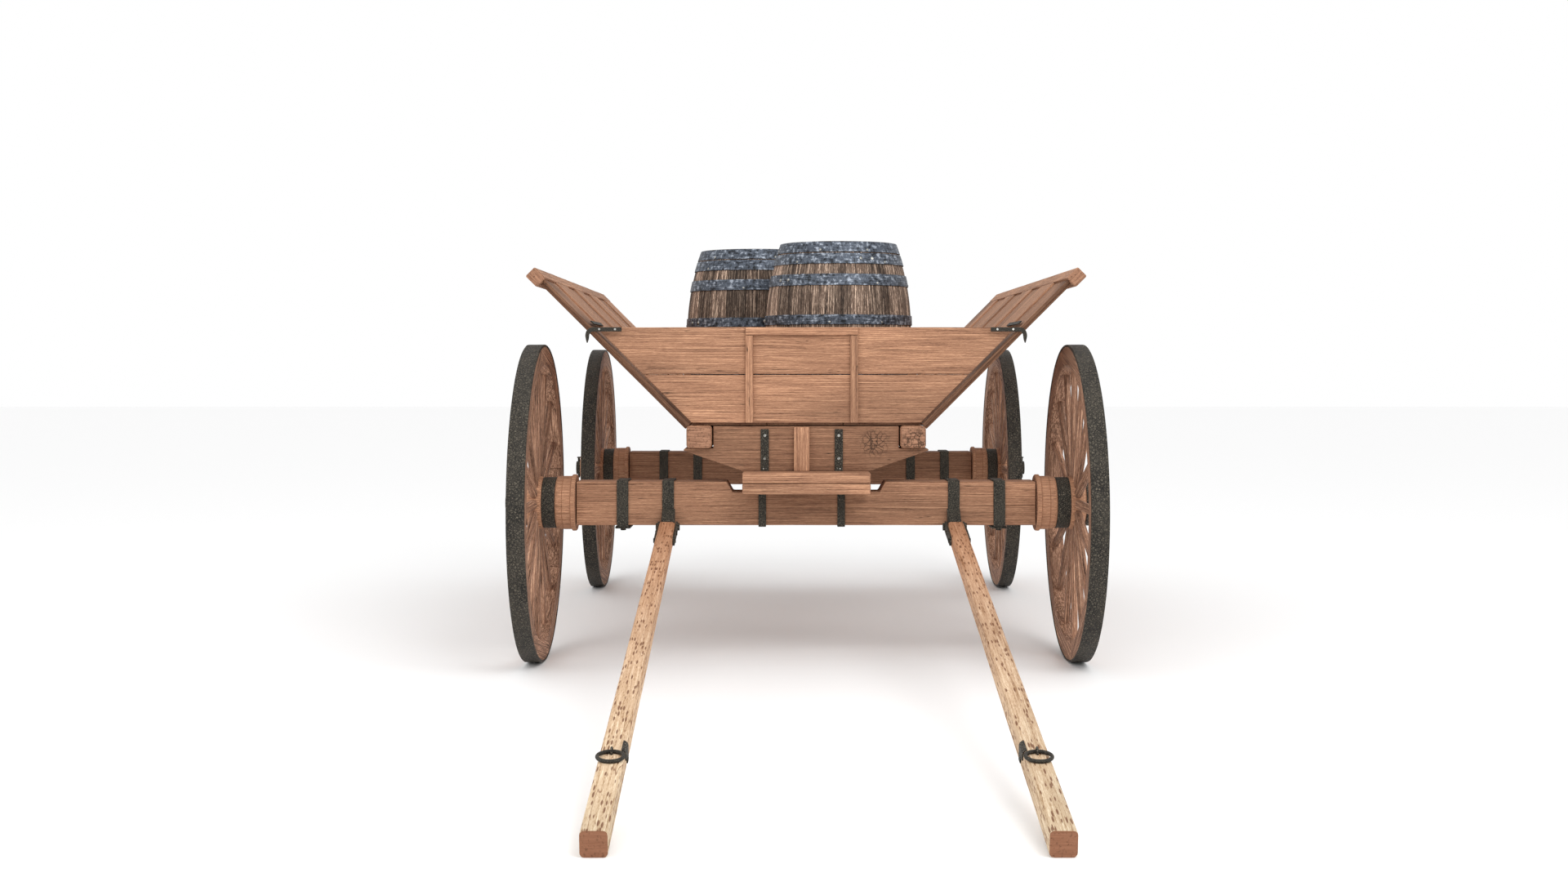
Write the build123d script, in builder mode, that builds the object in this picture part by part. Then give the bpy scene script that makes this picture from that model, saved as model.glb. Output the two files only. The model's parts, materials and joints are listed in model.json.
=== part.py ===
from build123d import *
from math import atan2, cos, hypot, sin, sqrt
import os

# A four-wheeled farm wagon of wood and forged iron, in millimetres. X runs across the wagon,
# -Y is the front where the two draught shafts lie on the ground, and Z is up from the ground.

# driving dimensions
wheel_radius = 550
wheel_base = 2235
shaft_reach = 2650  # from the front axle to the shaft tips
wheel_x = 935  # the middle plane of a wheel
tyre_width = 60
tyre_thickness = 8
felloe_depth = 67
spoke_count = 16
felloe_count = 8
running_gap = 0.4  # between an axle arm and its box, and round the king pin

length = shaft_reach + wheel_base + wheel_radius
front_y = shaft_reach - length / 2
rear_y = front_y + wheel_base
axle_z = wheel_radius

beam_end = 792
beam_depth = 65  # half the thickness of an axle beam
beam_low = 476
beam_high = 626
notch_z = 591
iron = 5  # thickness of the flat iron straps

plate_half = 217
plate_depth = 200
plate_parting = 627.5
plate_top = 664

bolster_depth = 85
bolster_top = 818
sill_inner = 323
sill_outer = 411
sill_low = 742
floor_low = 820
floor_high = 842

board_low = 830  # the end boards hang in front of the floor and cover its ends
board_high = 1158
board_thick = 22
panel_offset = 434.5  # the inner face of a side stands at x = z - panel_offset
panel_plank = 18
stake_thick = 12
cap_long = 54
cap_thick = 44.6
cap_corner = Vector(929, 0, 1366.5)  # top inner corner of the right top rail
bed_front = front_y - 100
bed_rear = rear_y + 100

shaft_x = 490
shaft_shift = 17  # the shafts and the outer axle straps sit right of the middle
fitting_shift = -15  # battens, cleats and inner straps sit left of it
outer_straps = (649, 492)  # where each half of an axle beam is banded
inner_strap = 136
bolster_strap = 127
batten_x = 180
shaft_root = 54
shaft_tip = 60
pivot_y = front_y - 123
pivot_z = 476
ring_back = 399  # from a shaft's tip back to its ring

cask_height = 633
cask_bilge = 270
cask_head = 212
cask_places = {"cask_front": (126, front_y + 444), "cask_rear": (-188, front_y + 901)}
stave_count = 22

os.makedirs("parts", exist_ok=True)


def save(context, name):
    """Labels a finished piece and writes it as its own file."""
    context.part.label = name
    export_step(context.part, f"parts/{name}.step")
    return context.part


def block(x_low, x_high, y_low, y_high, z_low, z_high):
    """Adds a plain block between two corners to the part being built."""
    with BuildSketch(Plane.XY.offset(z_low)) as base:
        with Locations(((x_low + x_high) / 2, (y_low + y_high) / 2)):
            Rectangle(x_high - x_low, y_high - y_low)
    extrude(base.sketch, amount=z_high - z_low)


# ---------------------------------------------------------------- axles

def axle_beam(name, y):
    """The heavy cross beam that carries one pair of wheels, notched on top in the middle."""
    with BuildPart() as beam:
        with BuildSketch(Plane.XZ.offset(-y - beam_depth)):
            with BuildLine():
                Polyline(
                    (-beam_end, beam_low), (beam_end, beam_low), (beam_end, beam_high),
                    (273, beam_high), (253, notch_z), (-253, notch_z),
                    (-273, beam_high), (-beam_end, beam_high), close=True,
                )
            make_face()
        extrude(amount=2 * beam_depth)
        fillet(beam.edges().filter_by(Axis.X), radius=3)
        for side in (-1, 1):
            with Locations(Location((side * 716, y, axle_z), (0, 90, 0))):
                Cylinder(30, 152, mode=Mode.SUBTRACT)
        with Locations((0, y, 533)):
            Cylinder(14 + running_gap, 200, mode=Mode.SUBTRACT)
    return save(beam, name)


def axle_arms(name, y):
    """Both round iron arms with their shoulders, washers and linch pins."""
    with BuildPart() as arms:
        for side in (-1, 1):
            outward = Plane(origin=(0, y, axle_z), x_dir=(0, 1, 0), z_dir=(side, 0, 0))
            with BuildSketch(outward.offset(640)):
                Circle(30)
            extrude(amount=402)
            with BuildSketch(outward.offset(792)):
                Circle(46)
            extrude(amount=2.5)
            with BuildSketch(outward.offset(1020.6)):
                Circle(42)
            extrude(amount=4)
            with Locations((side * 1032, y, axle_z)):
                Cylinder(5, 92)
                with Locations((0, 0, 48)):
                    Cylinder(8, 6)
    return save(arms, name)


def strap_ring(x, width, y, low, high):
    """A flat iron band wrapped round a beam of rectangular section."""
    with BuildSketch(Plane.YZ.offset(x - width / 2)) as ring:
        with Locations((y, (low + high) / 2)):
            Rectangle(2 * (beam_depth + iron), high - low + 2 * iron)
            Rectangle(2 * beam_depth, high - low, mode=Mode.SUBTRACT)
    extrude(ring.sketch, amount=width)


def axle_straps(name, y):
    """Bands round an axle beam, with the foot plates and nuts below the outer ones."""
    with BuildPart() as straps:
        for side in (-1, 1):
            for strap in outer_straps:
                strap_ring(side * strap + shaft_shift, 40, y, beam_low, beam_high)
            foot = side * outer_straps[0] + shaft_shift
            block(foot - 26, foot + 26, y - 60, y + 60, 464, 471)
            for nut in (-40, 40):
                with Locations((foot, y + nut, 461)):
                    Cylinder(9, 8)
            x = side * inner_strap + fitting_shift
            for face in (-1, 1):
                start = y + face * beam_depth
                block(x - 13, x + 13, min(start, start + face * iron),
                      max(start, start + face * iron), beam_low - iron, notch_z - 1)
            block(x - 13, x + 13, y - beam_depth, y + beam_depth, beam_low - iron, beam_low)
    return save(straps, name)


axle_beam("front_axle_beam", front_y)
axle_beam("rear_axle_beam", rear_y)
axle_arms("front_axle_arms", front_y)
axle_arms("rear_axle_arms", rear_y)
axle_straps("front_axle_straps", front_y)
axle_straps("rear_axle_straps", rear_y)

# each lug stands out from a front strap and holds the pivot of one shaft
with BuildPart() as lugs:
    for side in (-1, 1):
        with BuildSketch(Plane.YZ.offset(side * shaft_x + shaft_shift - 22)):
            with Locations((pivot_y, pivot_z)):
                Circle(20)
            with Locations((front_y - beam_depth - iron - 3, 503)):
                Rectangle(6, 60)
            make_hull()
            with Locations((pivot_y, pivot_z)):
                Circle(8 + running_gap, mode=Mode.SUBTRACT)
        extrude(amount=44)
save(lugs, "shaft_lugs")

# ---------------------------------------------------------------- turning plates and bolsters


def turning_plate(name, y, low, high, hole):
    """A pair of planks, laid across, that the front carriage turns on."""
    with BuildPart() as plate:
        with BuildSketch(Plane.XY.offset(low)):
            for half in (-1, 1):
                with Locations((0, y + half * plate_depth / 2)):
                    Rectangle(2 * plate_half, plate_depth - 1)
        extrude(amount=high - low)
        corners = plate.edges().filter_by(Axis.Z)
        outer = corners.filter_by(lambda edge: abs(edge.center().Y - y) > plate_depth - 2)
        fillet(outer, radius=14)
        fillet(plate.faces().filter_by(Axis.Z).edges().filter_by(Axis.X), radius=3)
        with Locations((0, y, (low + high) / 2)):
            Cylinder(hole, 100, mode=Mode.SUBTRACT)
    return save(plate, name)


turning_plate("lower_turning_plate", front_y, notch_z, plate_parting - 0.4, 14 + running_gap)
turning_plate("upper_turning_plate", front_y, plate_parting + 0.4, plate_top, 14)

with BuildPart() as block_under_rear:
    block(-plate_half, plate_half, rear_y - 95, rear_y + 95, notch_z, plate_top)
    fillet(block_under_rear.edges().filter_by(Axis.X), radius=3)
save(block_under_rear, "rear_bolster_block")

with BuildPart() as king_pin:
    with Locations((0, front_y, 480)):
        Cylinder(14, 260, align=(Align.CENTER, Align.CENTER, Align.MIN))
    fillet(king_pin.edges().sort_by(Axis.Z)[0], radius=3)
save(king_pin, "king_pin")


def bolster(name, y):
    """A cross timber cut away below at both ends, and notched on top for the sills."""
    with BuildPart() as timber:
        with BuildSketch(Plane.XZ.offset(-y - bolster_depth)):
            with BuildLine():
                half = [(221, plate_top), (421, 734), (421, 738), (415, sill_low)]
                notch = [(sill_inner - 4, sill_low), (sill_inner - 4, bolster_top)]
                right = half + notch
                left = [(-x, z) for x, z in reversed(right)]
                Polyline(*right, *left, close=True)
            make_face()
        extrude(amount=2 * bolster_depth)
        fillet(timber.faces().filter_by(Axis.Y).edges(), radius=2)
        if y == front_y:
            with Locations((0, y, 700)):
                Cylinder(14, 80, mode=Mode.SUBTRACT)
    return save(timber, name)


bolster("front_bolster", front_y)
bolster("rear_bolster", rear_y)

# upright cleats on the outer faces of both bolsters, and the small iron straps beside them
with BuildPart() as cleats:
    for y, face in ((front_y, -1), (rear_y, 1)):
        near = y + face * bolster_depth
        far = near + face * 18
        block(fitting_shift - 26.5, fitting_shift + 26.5, min(near, far), max(near, far),
              plate_top, 816)
    fillet(cleats.edges().filter_by(Axis.Z), radius=3)
save(cleats, "bolster_cleats")

with BuildPart() as small_straps:
    for y, face in ((front_y, -1), (rear_y, 1)):
        near = y + face * bolster_depth
        far = near + face * iron
        for x in (fitting_shift - bolster_strap, fitting_shift + bolster_strap):
            block(x - 14, x + 14, min(near, far), max(near, far), plate_top, 808)
save(small_straps, "bolster_straps")

with BuildPart() as strap_bolts:
    for y, face in ((front_y, -1), (rear_y, 1)):
        for x in (fitting_shift - bolster_strap, fitting_shift + bolster_strap):
            for z in (672, 707, 786):
                wide = 3 if z == 672 else 5
                outside = Plane(
                    origin=(x, y + face * (bolster_depth + iron), z), x_dir=(1, 0, 0),
                    z_dir=(0, face, 0),
                )
                with BuildSketch(outside):
                    Circle(wide)
                extrude(amount=3)
    fillet(strap_bolts.faces().filter_by(Axis.Y).edges(), radius=0.9)
save(strap_bolts, "strap_bolts")

# ---------------------------------------------------------------- bed

with BuildPart() as sills:
    for side in (-1, 1):
        inner, outer = side * sill_inner, side * sill_outer
        block(min(inner, outer), max(inner, outer), bed_front - 6, bed_rear + 6, sill_low,
              bolster_top + 0.5)
    fillet(sills.edges().filter_by(Axis.Y), radius=12)
    for y in (front_y + 620, rear_y - 620, (front_y + rear_y) / 2):
        block(-sill_inner, sill_inner, y - 40, y + 40, bolster_top - 60, floor_low)
save(sills, "bed_sills")

floor_seams = (-394, -135, 128, 394)
with BuildPart() as floor:
    for start, end in zip(floor_seams, floor_seams[1:]):
        block(start + 1, end - 1, bed_front + 38.5, bed_rear - 38.5, floor_low, floor_high)
    fillet(floor.edges().filter_by(Axis.Y), radius=2)
save(floor, "floor_planks")


def end_board(name, y, face):
    """A front or rear board of two planks with slanting ends, nailed to the floor."""
    with BuildPart() as board:
        rows = ((board_low, 995), (997, board_high))
        for low, high in rows:
            with BuildSketch(Plane.XZ.offset(-y - board_thick / 2)):
                with BuildLine():
                    Polyline(
                        (low - panel_offset - 2, low), (high - panel_offset - 2, high),
                        (-high + panel_offset + 2, high), (-low + panel_offset + 2, low),
                        close=True,
                    )
                make_face()
            extrude(amount=board_thick)
        fillet(board.faces().filter_by(Axis.Y).edges().filter_by(Axis.X), radius=2)
    save(board, name + "_planks")
    with BuildPart() as battens:
        near = y + face * board_thick / 2
        far = near + face * 14
        for x in (fitting_shift - batten_x, fitting_shift + batten_x):
            block(x - 13.5, x + 13.5, min(near, far), max(near, far), board_low, 1130)
        block(fitting_shift - 192, fitting_shift + 192, min(near, far), max(near, far), 1131,
              board_high)
        fillet(battens.faces().filter_by(Axis.Y).edges(), radius=2)
    save(battens, name + "_battens")


end_board("front_board", bed_front + 11 + 16, -1)
end_board("rear_board", bed_rear - 11 - 16, 1)

# ---------------------------------------------------------------- flared sides

lean = sqrt(0.5)
side_foot = 833.5  # height of the lowest inner edge of a side
slope_length = (cap_corner.Z - cap_long * lean - side_foot) / lean
plank_ends = [0, 0.125, 0.26, 0.37, 0.48, 0.6, 0.72, 0.86, 1]


def side_plane(side, depth):
    """The plane of a side, seen from inside the bed: x along the wagon, y up the slope."""
    foot = Vector(side * (side_foot - panel_offset), 0, side_foot)
    outward = Vector(side * lean, 0, -lean)
    return Plane(origin=foot + outward * depth, x_dir=(0, side, 0), z_dir=outward)


def side_strip(side, depth, thick, y_low, y_high, up_low, up_high):
    """Adds a flat strip that lies in a side, between two depths from its inner face."""
    with BuildSketch(side_plane(side, depth)) as strip:
        with Locations((side * (y_low + y_high) / 2, (up_low + up_high) / 2)):
            Rectangle(y_high - y_low, up_high - up_low)
    extrude(strip.sketch, amount=thick)


bed_length = bed_rear - bed_front
for side, hand in ((-1, "left"), (1, "right")):
    with BuildPart() as planks:
        for start, end in zip(plank_ends, plank_ends[1:]):
            side_strip(side, 0, panel_plank, bed_front + bed_length * start + 0.6,
                       bed_front + bed_length * end - 0.6, 0, slope_length)
    save(planks, f"side_planks_{hand}")

# outer uprights and two long rails that the side planks are nailed to
stake_places = [0.012, 0.2, 0.4, 0.6, 0.8, 0.988]
with BuildPart() as stakes:
    for side in (-1, 1):
        for place in stake_places:
            middle = bed_front + 40 + (bed_length - 80) * place
            side_strip(side, panel_plank, stake_thick, middle - 34, middle + 34, 0, slope_length)
save(stakes, "side_stakes")

with BuildPart() as rails:
    for side in (-1, 1):
        side_strip(side, 0, cap_thick, bed_front - 12, bed_rear + 12,
                   slope_length + 0.5, slope_length + cap_long)
    along = rails.edges().filter_by(Axis.Y)
    fillet(along, radius=5)
save(rails, "top_rails")

# corner irons: a strap on each end board that passes the side and ends in a curved hook,
# and a second leg that runs back along the inside of the side
with BuildPart() as corner_irons:
    for y, face in ((bed_front, -1), (bed_rear, 1)):
        for side in (-1, 1):
            outside = Plane(origin=(0, y + face * 0.5, 0), x_dir=(side, 0, 0), z_dir=(0, -side, 0))
            with BuildSketch(outside):
                with BuildLine():
                    Line((623, 1158), (732, 1158))
                    ThreePointArc((732, 1158), (752, 1145), (757, 1128))
                    Line((757, 1128), (750, 1104))
                    Line((750, 1104), (743, 1128))
                    ThreePointArc((743, 1128), (738, 1139), (728, 1143))
                    Line((728, 1143), (623, 1143))
                    Line((623, 1143), (623, 1158))
                make_face()
            extrude(amount=-side * face * 6)
            start = y - face * 60
            end = y - face * 400
            leg_foot = (board_high - side_foot) / lean + 16
            side_strip(side, -iron, iron - 0.4, min(start, end), max(start, end),
                       leg_foot, leg_foot + 26)
save(corner_irons, "corner_irons")

# ---------------------------------------------------------------- wheels


def wheel(name, side, y):
    """One spoked wheel: nave, spokes, felloes, iron tyre, and the irons of the nave."""
    hub = Plane(origin=(side * wheel_x, y, axle_z), x_dir=(0, 1, 0), z_dir=(side, 0, 0))
    section = Plane(origin=hub.origin, x_dir=(side, 0, 0), z_dir=(0, -side, 0))
    turning = Axis(hub.origin, hub.z_dir)
    felloe_low = wheel_radius - tyre_thickness - felloe_depth
    felloe_high = wheel_radius - tyre_thickness

    with BuildPart() as spoke:
        for distance, width, thickness in ((93, 35, 26), (474.5, 29, 22)):
            with BuildSketch(Plane.YZ.offset(distance)):
                Rectangle(width, thickness)
        loft()
        fillet(spoke.edges().filter_by(lambda edge: edge.length > 300), radius=6)
        for low, high in ((62, 98), (469.5, 505)):
            with Locations(((low + high) / 2, 0, 0)):
                Box(high - low, 20, 19)

    with BuildPart() as spokes:
        with Locations(hub):
            with PolarLocations(0, spoke_count):
                add(spoke.part)
    save(spokes, name + "_spokes")

    with BuildPart() as nave:
        with BuildSketch(section):
            with BuildLine():
                Polyline(
                    (-140, 36), (-140, 92), (-134, 98), (-76, 99), (-70, 94), (-70, 83),
                    (-24, 83), (-24, 90), (-20, 92.5), (20, 92.5), (25, 88), (31, 75),
                    (65, 75), (65, 71), (80, 71), (85, 66), (85, 36), close=True,
                )
            make_face()
        revolve(axis=turning)
        add(spokes.part, mode=Mode.SUBTRACT)
    save(nave, name + "_nave")

    with BuildPart() as irons:
        for low, high, inner, outer in ((-140, 85, 30 + running_gap, 36), (-69.5, -24.5, 83, 88),
                                        (31.5, 65, 75, 80)):
            with BuildSketch(hub.offset(low)):
                Circle(outer)
                Circle(inner, mode=Mode.SUBTRACT)
            extrude(amount=high - low)
    save(irons, name + "_nave_irons")

    with BuildPart() as felloes:
        with BuildSketch(hub.offset(-28)):
            Circle(felloe_high)
            Circle(felloe_low, mode=Mode.SUBTRACT)
            with PolarLocations(felloe_low + felloe_depth / 2, felloe_count,
                                start_angle=-180 / spoke_count):
                Rectangle(felloe_depth + 20, 1, mode=Mode.SUBTRACT)
        extrude(amount=56)
        inner_edges = felloes.edges().filter_by(GeomType.CIRCLE)
        fillet(inner_edges.filter_by(lambda edge: edge.radius < felloe_low + 1), radius=7)
        add(spokes.part, mode=Mode.SUBTRACT)
    save(felloes, name + "_felloes")

    with BuildPart() as tyre:
        with BuildSketch(hub.offset(-tyre_width / 2)):
            Circle(wheel_radius)
            Circle(felloe_high, mode=Mode.SUBTRACT)
        extrude(amount=tyre_width)
        rims = tyre.edges().filter_by(GeomType.CIRCLE)
        fillet(rims.filter_by(lambda edge: edge.radius > wheel_radius - 1), radius=2.5)
    save(tyre, name + "_tyre")


for place, y in (("front", front_y), ("rear", rear_y)):
    for hand, side in (("left", -1), ("right", 1)):
        wheel(f"{place}_{hand}_wheel", side, y)

# ---------------------------------------------------------------- shafts

tip_top = Vector(0, front_y - shaft_reach, shaft_tip * 0.985)
root_top = Vector(0, front_y - 163, 496)
slope = atan2(root_top.Z - tip_top.Z, root_top.Y - tip_top.Y)
shaft_length = hypot(root_top.Z - tip_top.Z, root_top.Y - tip_top.Y)
down_shaft = Vector(0, -cos(slope), -sin(slope))
off_shaft = Vector(0, -sin(slope), cos(slope))
ring_wire = 4.5
ring_size = 30.5
staple_wire = 3
ring_lift = ring_wire + running_gap
staple_at = shaft_length - ring_back - ring_size  # the ring lies forward of its staple


def shaft_size(distance):
    """The width of the square shaft at a distance from its root."""
    return shaft_root + (shaft_tip - shaft_root) * distance / shaft_length


def on_shaft(x, distance, height):
    """A point above the middle of a shaft's top face."""
    return Vector(x, root_top.Y, root_top.Z) + down_shaft * distance + off_shaft * height


def across_shaft(x, distance):
    """The plane square to a shaft, centred on it, facing its tip."""
    middle = on_shaft(x, distance, -shaft_size(distance) / 2)
    return Plane(origin=middle, x_dir=(1, 0, 0), z_dir=down_shaft)


def shaft(hand, side):
    """One draught shaft, with its pivot irons, the ring, and the ring's staple and hook."""
    x = side * shaft_x + shaft_shift
    with BuildPart() as irons:
        for cheek in (-1, 1):
            with BuildSketch(Plane.YZ.offset(x + cheek * 30.8 - 3)):
                with Locations((pivot_y, pivot_z)):
                    Circle(18)
                end = on_shaft(x, 150, -shaft_root / 2)
                with Locations((end.Y, end.Z)):
                    Circle(15)
                make_hull()
            extrude(amount=6)
            for distance in (45, 140):
                head = on_shaft(x, distance, -shaft_root / 2)
                with Locations(Location((x + cheek * 35.3, head.Y, head.Z), (0, 90, 0))):
                    Cylinder(8, 4)
        with Locations(Location((x, pivot_y, pivot_z), (0, 90, 0))):
            Cylinder(8, 78)
            with Locations((0, 0, -37), (0, 0, 37)):
                Cylinder(13, 7)
        foot = on_shaft(x, staple_at, 0)
        beside = Plane(origin=foot, x_dir=down_shaft, z_dir=(-1, 0, 0))
        reach = ring_wire + staple_wire + 0.8
        with BuildLine(beside, mode=Mode.PRIVATE) as bend:
            Line((-reach, -10), (-reach, ring_lift))
            ThreePointArc((-reach, ring_lift), (0, ring_lift + reach), (reach, ring_lift))
            Line((reach, ring_lift), (reach, -10))
        with BuildSketch(Plane(origin=bend.wires()[0] @ 0, z_dir=bend.wires()[0] % 0)):
            Circle(staple_wire)
        sweep(path=bend.wires()[0])
        hook_at = staple_at - 74
        wide = shaft_size(hook_at)
        for start, stop, drop in ((0, 24, wide * 0.75), (24, 60, wide * 0.4)):
            with BuildSketch(across_shaft(x, hook_at + start)):
                RectangleRounded(wide + 7, wide + 7, radius=13.5)
                RectangleRounded(wide + 0.6, wide + 0.6, radius=10.3, mode=Mode.SUBTRACT)
                with Locations((-side * (wide / 2 + 2), wide / 2 - drop / 2 + 4)):
                    Rectangle(20, drop + 8, mode=Mode.INTERSECT)
            extrude(amount=stop - start)
    save(irons, f"shaft_{hand}_irons")

    with BuildPart() as pole:
        for distance in (0, shaft_length):
            size = shaft_size(distance)
            with BuildSketch(across_shaft(x, distance)):
                RectangleRounded(size, size, radius=10)
        loft()
        add(irons.part, mode=Mode.SUBTRACT)
    save(pole, f"shaft_{hand}_pole")

    eye = on_shaft(x, staple_at, ring_lift)
    middle = eye + down_shaft * ring_size
    with BuildPart() as ring:
        with BuildSketch(Plane(origin=middle, x_dir=(1, 0, 0), z_dir=(0, cos(slope), sin(slope)))):
            with Locations((ring_size, 0)):
                Circle(ring_wire)
        revolve(axis=Axis(middle, off_shaft))
    save(ring, f"shaft_{hand}_ring")


shaft("left", -1)
shaft("right", 1)

# ---------------------------------------------------------------- casks

hoop_bands = ((1, 39), (43, 82), (119, 160), (266, 301))


def bulge(extra):
    """Half of a cask's bowed outline, a distance outside its staves."""
    with BuildSketch(Plane.XY, mode=Mode.PRIVATE) as half:
        with BuildLine():
            side_arc = ThreePointArc(
                (cask_head + extra, 0), (cask_bilge + extra, cask_height / 2),
                (cask_head + extra, cask_height),
            )
            Polyline(side_arc @ 1, (0, cask_height), (0, 0), side_arc @ 0)
        make_face()
    return half.sketch


def cask(name, x, y):
    """A standing cask: bowed staves, two flat heads let into them, and eight flat hoops."""
    stand = Plane(origin=(x, y, floor_high + 0.5), x_dir=(1, 0, 0), z_dir=(0, -1, 0))
    upright = Axis(stand.origin, (0, 0, 1))
    with BuildPart() as heads:
        for z in (24, cask_height - 39):
            with BuildSketch(Plane.XY.offset(floor_high + 0.5 + z)):
                with Locations((x, y)):
                    Circle(206)
                    with GridLocations(1, 82, 1, 4):
                        Rectangle(500, 1, mode=Mode.SUBTRACT)
            extrude(amount=15)
    save(heads, name + "_heads")

    with BuildPart() as staves:
        with BuildSketch(stand):
            add(bulge(0))
            add(bulge(-17), mode=Mode.SUBTRACT)
        revolve(axis=upright)
        with BuildSketch(Plane.XY.offset(floor_high)):
            with Locations((x, y)):
                with PolarLocations(cask_bilge - 20, stave_count):
                    Rectangle(120, 0.8)
        extrude(amount=cask_height + 1, mode=Mode.SUBTRACT)
        add(heads.part, mode=Mode.SUBTRACT)
    save(staves, name + "_staves")

    with BuildPart() as hoops:
        with BuildSketch(stand):
            with BuildSketch(mode=Mode.PRIVATE) as bands:
                for low, high in hoop_bands:
                    for middle in ((low + high) / 2, cask_height - (low + high) / 2):
                        with Locations((cask_bilge - 20, middle)):
                            Rectangle(100, high - low)
            add(bulge(3.2))
            add(bulge(0.2), mode=Mode.SUBTRACT)
            add(bands.sketch, mode=Mode.INTERSECT)
        revolve(axis=upright)
    save(hoops, name + "_hoops")


for name, (x, y) in cask_places.items():
    cask(name, x, y)
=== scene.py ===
# %% [markdown]
# A farm wagon in wood and iron
#
# The CAD model already holds every timber, iron and joint at its true size and place. This lesson
# dresses it: each wooden piece is shaped again with the edges, gaps and unevenness of old hand
# work, each iron gets its forged skin, and the two casks are coopered stave by stave.

import json
import math
import random

import bmesh
import bpy
from mathutils import Matrix, Vector, noise


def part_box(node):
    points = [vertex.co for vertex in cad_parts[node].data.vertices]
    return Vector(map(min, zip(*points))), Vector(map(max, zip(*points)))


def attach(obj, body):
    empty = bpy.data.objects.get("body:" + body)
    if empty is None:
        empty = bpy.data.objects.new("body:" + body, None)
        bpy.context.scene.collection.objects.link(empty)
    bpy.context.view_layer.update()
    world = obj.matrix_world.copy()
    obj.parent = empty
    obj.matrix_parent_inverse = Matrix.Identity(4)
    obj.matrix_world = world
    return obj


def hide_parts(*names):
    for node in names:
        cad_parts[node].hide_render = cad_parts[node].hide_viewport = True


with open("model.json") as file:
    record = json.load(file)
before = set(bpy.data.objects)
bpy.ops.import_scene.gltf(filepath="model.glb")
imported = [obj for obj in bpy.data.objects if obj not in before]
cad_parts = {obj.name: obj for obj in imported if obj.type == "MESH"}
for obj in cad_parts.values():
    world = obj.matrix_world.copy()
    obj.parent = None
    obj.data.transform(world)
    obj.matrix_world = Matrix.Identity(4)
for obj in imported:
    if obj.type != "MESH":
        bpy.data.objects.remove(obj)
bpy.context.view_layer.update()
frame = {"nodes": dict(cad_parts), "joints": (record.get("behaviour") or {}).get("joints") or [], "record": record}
bodies = frame["record"]["behaviour"]["bodies"]
body_of_node = {node: body for body, nodes in bodies.items() for node in nodes}

# %% [markdown]
# Camera and light
#
# The wagon is seen from just in front, at the height of its bed, with a level camera. A level
# camera keeps upright timbers upright, and a little vertical shift frames the shafts that lie
# towards the viewer. The light is that of a white studio: a bright even surround, and one large
# soft lamp high in front, so that contact shadows stay soft.

# %% Place the camera
camera_data = bpy.data.cameras.new("studio_camera")
camera_data.lens = 43.456
camera_data.sensor_width = 36
camera_data.shift_y = -0.0484
camera_data.clip_end = 100
camera = bpy.data.objects.new("studio_camera", camera_data)
camera.location = (-0.076, -6.6555, 1.028)
camera.rotation_euler = (math.radians(90), 0, 0)
bpy.context.scene.collection.objects.link(camera)
bpy.context.scene.camera = camera
print("camera", tuple(camera.location))

# %% [markdown]
# Helpers for the finishes
#
# Colours are written as they look on a screen and turned into the linear light that a shader
# adds up. Each finish is then a small tree of nodes, so three short helpers build every tree.

# %% Finish helpers
def linear(hex_colour):
    """An sRGB hex colour as the linear colour that a shader wants."""
    channels = [int(hex_colour[i:i + 2], 16) / 255 for i in (1, 3, 5)]
    return [c / 12.92 if c <= 0.04045 else ((c + 0.055) / 1.055) ** 2.4 for c in channels] + [1]


def add_node(tree, kind, values=(), links=(), **settings):
    """Adds a node with its settings, its socket values and its incoming links."""
    node = tree.nodes.new(kind)
    for key, value in settings.items():
        setattr(node, key, value)
    for socket, value in dict(values).items():
        node.inputs[socket].default_value = value
    for socket, source in dict(links).items():
        tree.links.new(source, node.inputs[socket])
    return node


def new_finish(name):
    """A new material with its node tree and its surface shader."""
    material = bpy.data.materials.new(name)
    material.use_nodes = True
    return material, material.node_tree, material.node_tree.nodes["Principled BSDF"]


def paint_ramp(node, stops):
    """Sets a colour ramp's stops from (position, hex colour) pairs."""
    ramp = node.color_ramp
    while len(ramp.elements) > len(stops):
        ramp.elements.remove(ramp.elements[-1])
    while len(ramp.elements) < len(stops):
        ramp.elements.new(1.0)
    for element, (position, colour) in zip(ramp.elements, stops):
        element.position = position
        element.color = linear(colour)


# %% [markdown]
# The white studio
#
# A white surround lights everything evenly. The key softbox high on the right gives the timbers
# their form, and a weaker one opens the shadows on the left. The floor is plain matt paint.

# %% Light the studio
world = bpy.data.worlds.new("white_studio")
world.use_nodes = True
world.node_tree.nodes["Background"].inputs["Color"].default_value = linear("#ffffff")
world.node_tree.nodes["Background"].inputs["Strength"].default_value = 1.0
bpy.context.scene.world = world

soft_lamps = (
    ("key_softbox", (2.6, -5.2, 5.4), 3.5, 190),
    ("fill_softbox", (-4.5, -4.0, 3.2), 3.0, 60),
)
for name, place, size, watts in soft_lamps:
    lamp_data = bpy.data.lights.new(name, "AREA")
    lamp_data.size = size
    lamp_data.energy = watts
    lamp = bpy.data.objects.new(name, lamp_data)
    lamp.location = place
    lamp.rotation_euler = (Vector((0, 0, 0.8)) - Vector(place)).to_track_quat("-Z", "Y").to_euler()
    bpy.context.scene.collection.objects.link(lamp)
bpy.context.scene.view_settings.view_transform = "Standard"
print("lamps", [name for name, *rest in soft_lamps])

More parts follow.
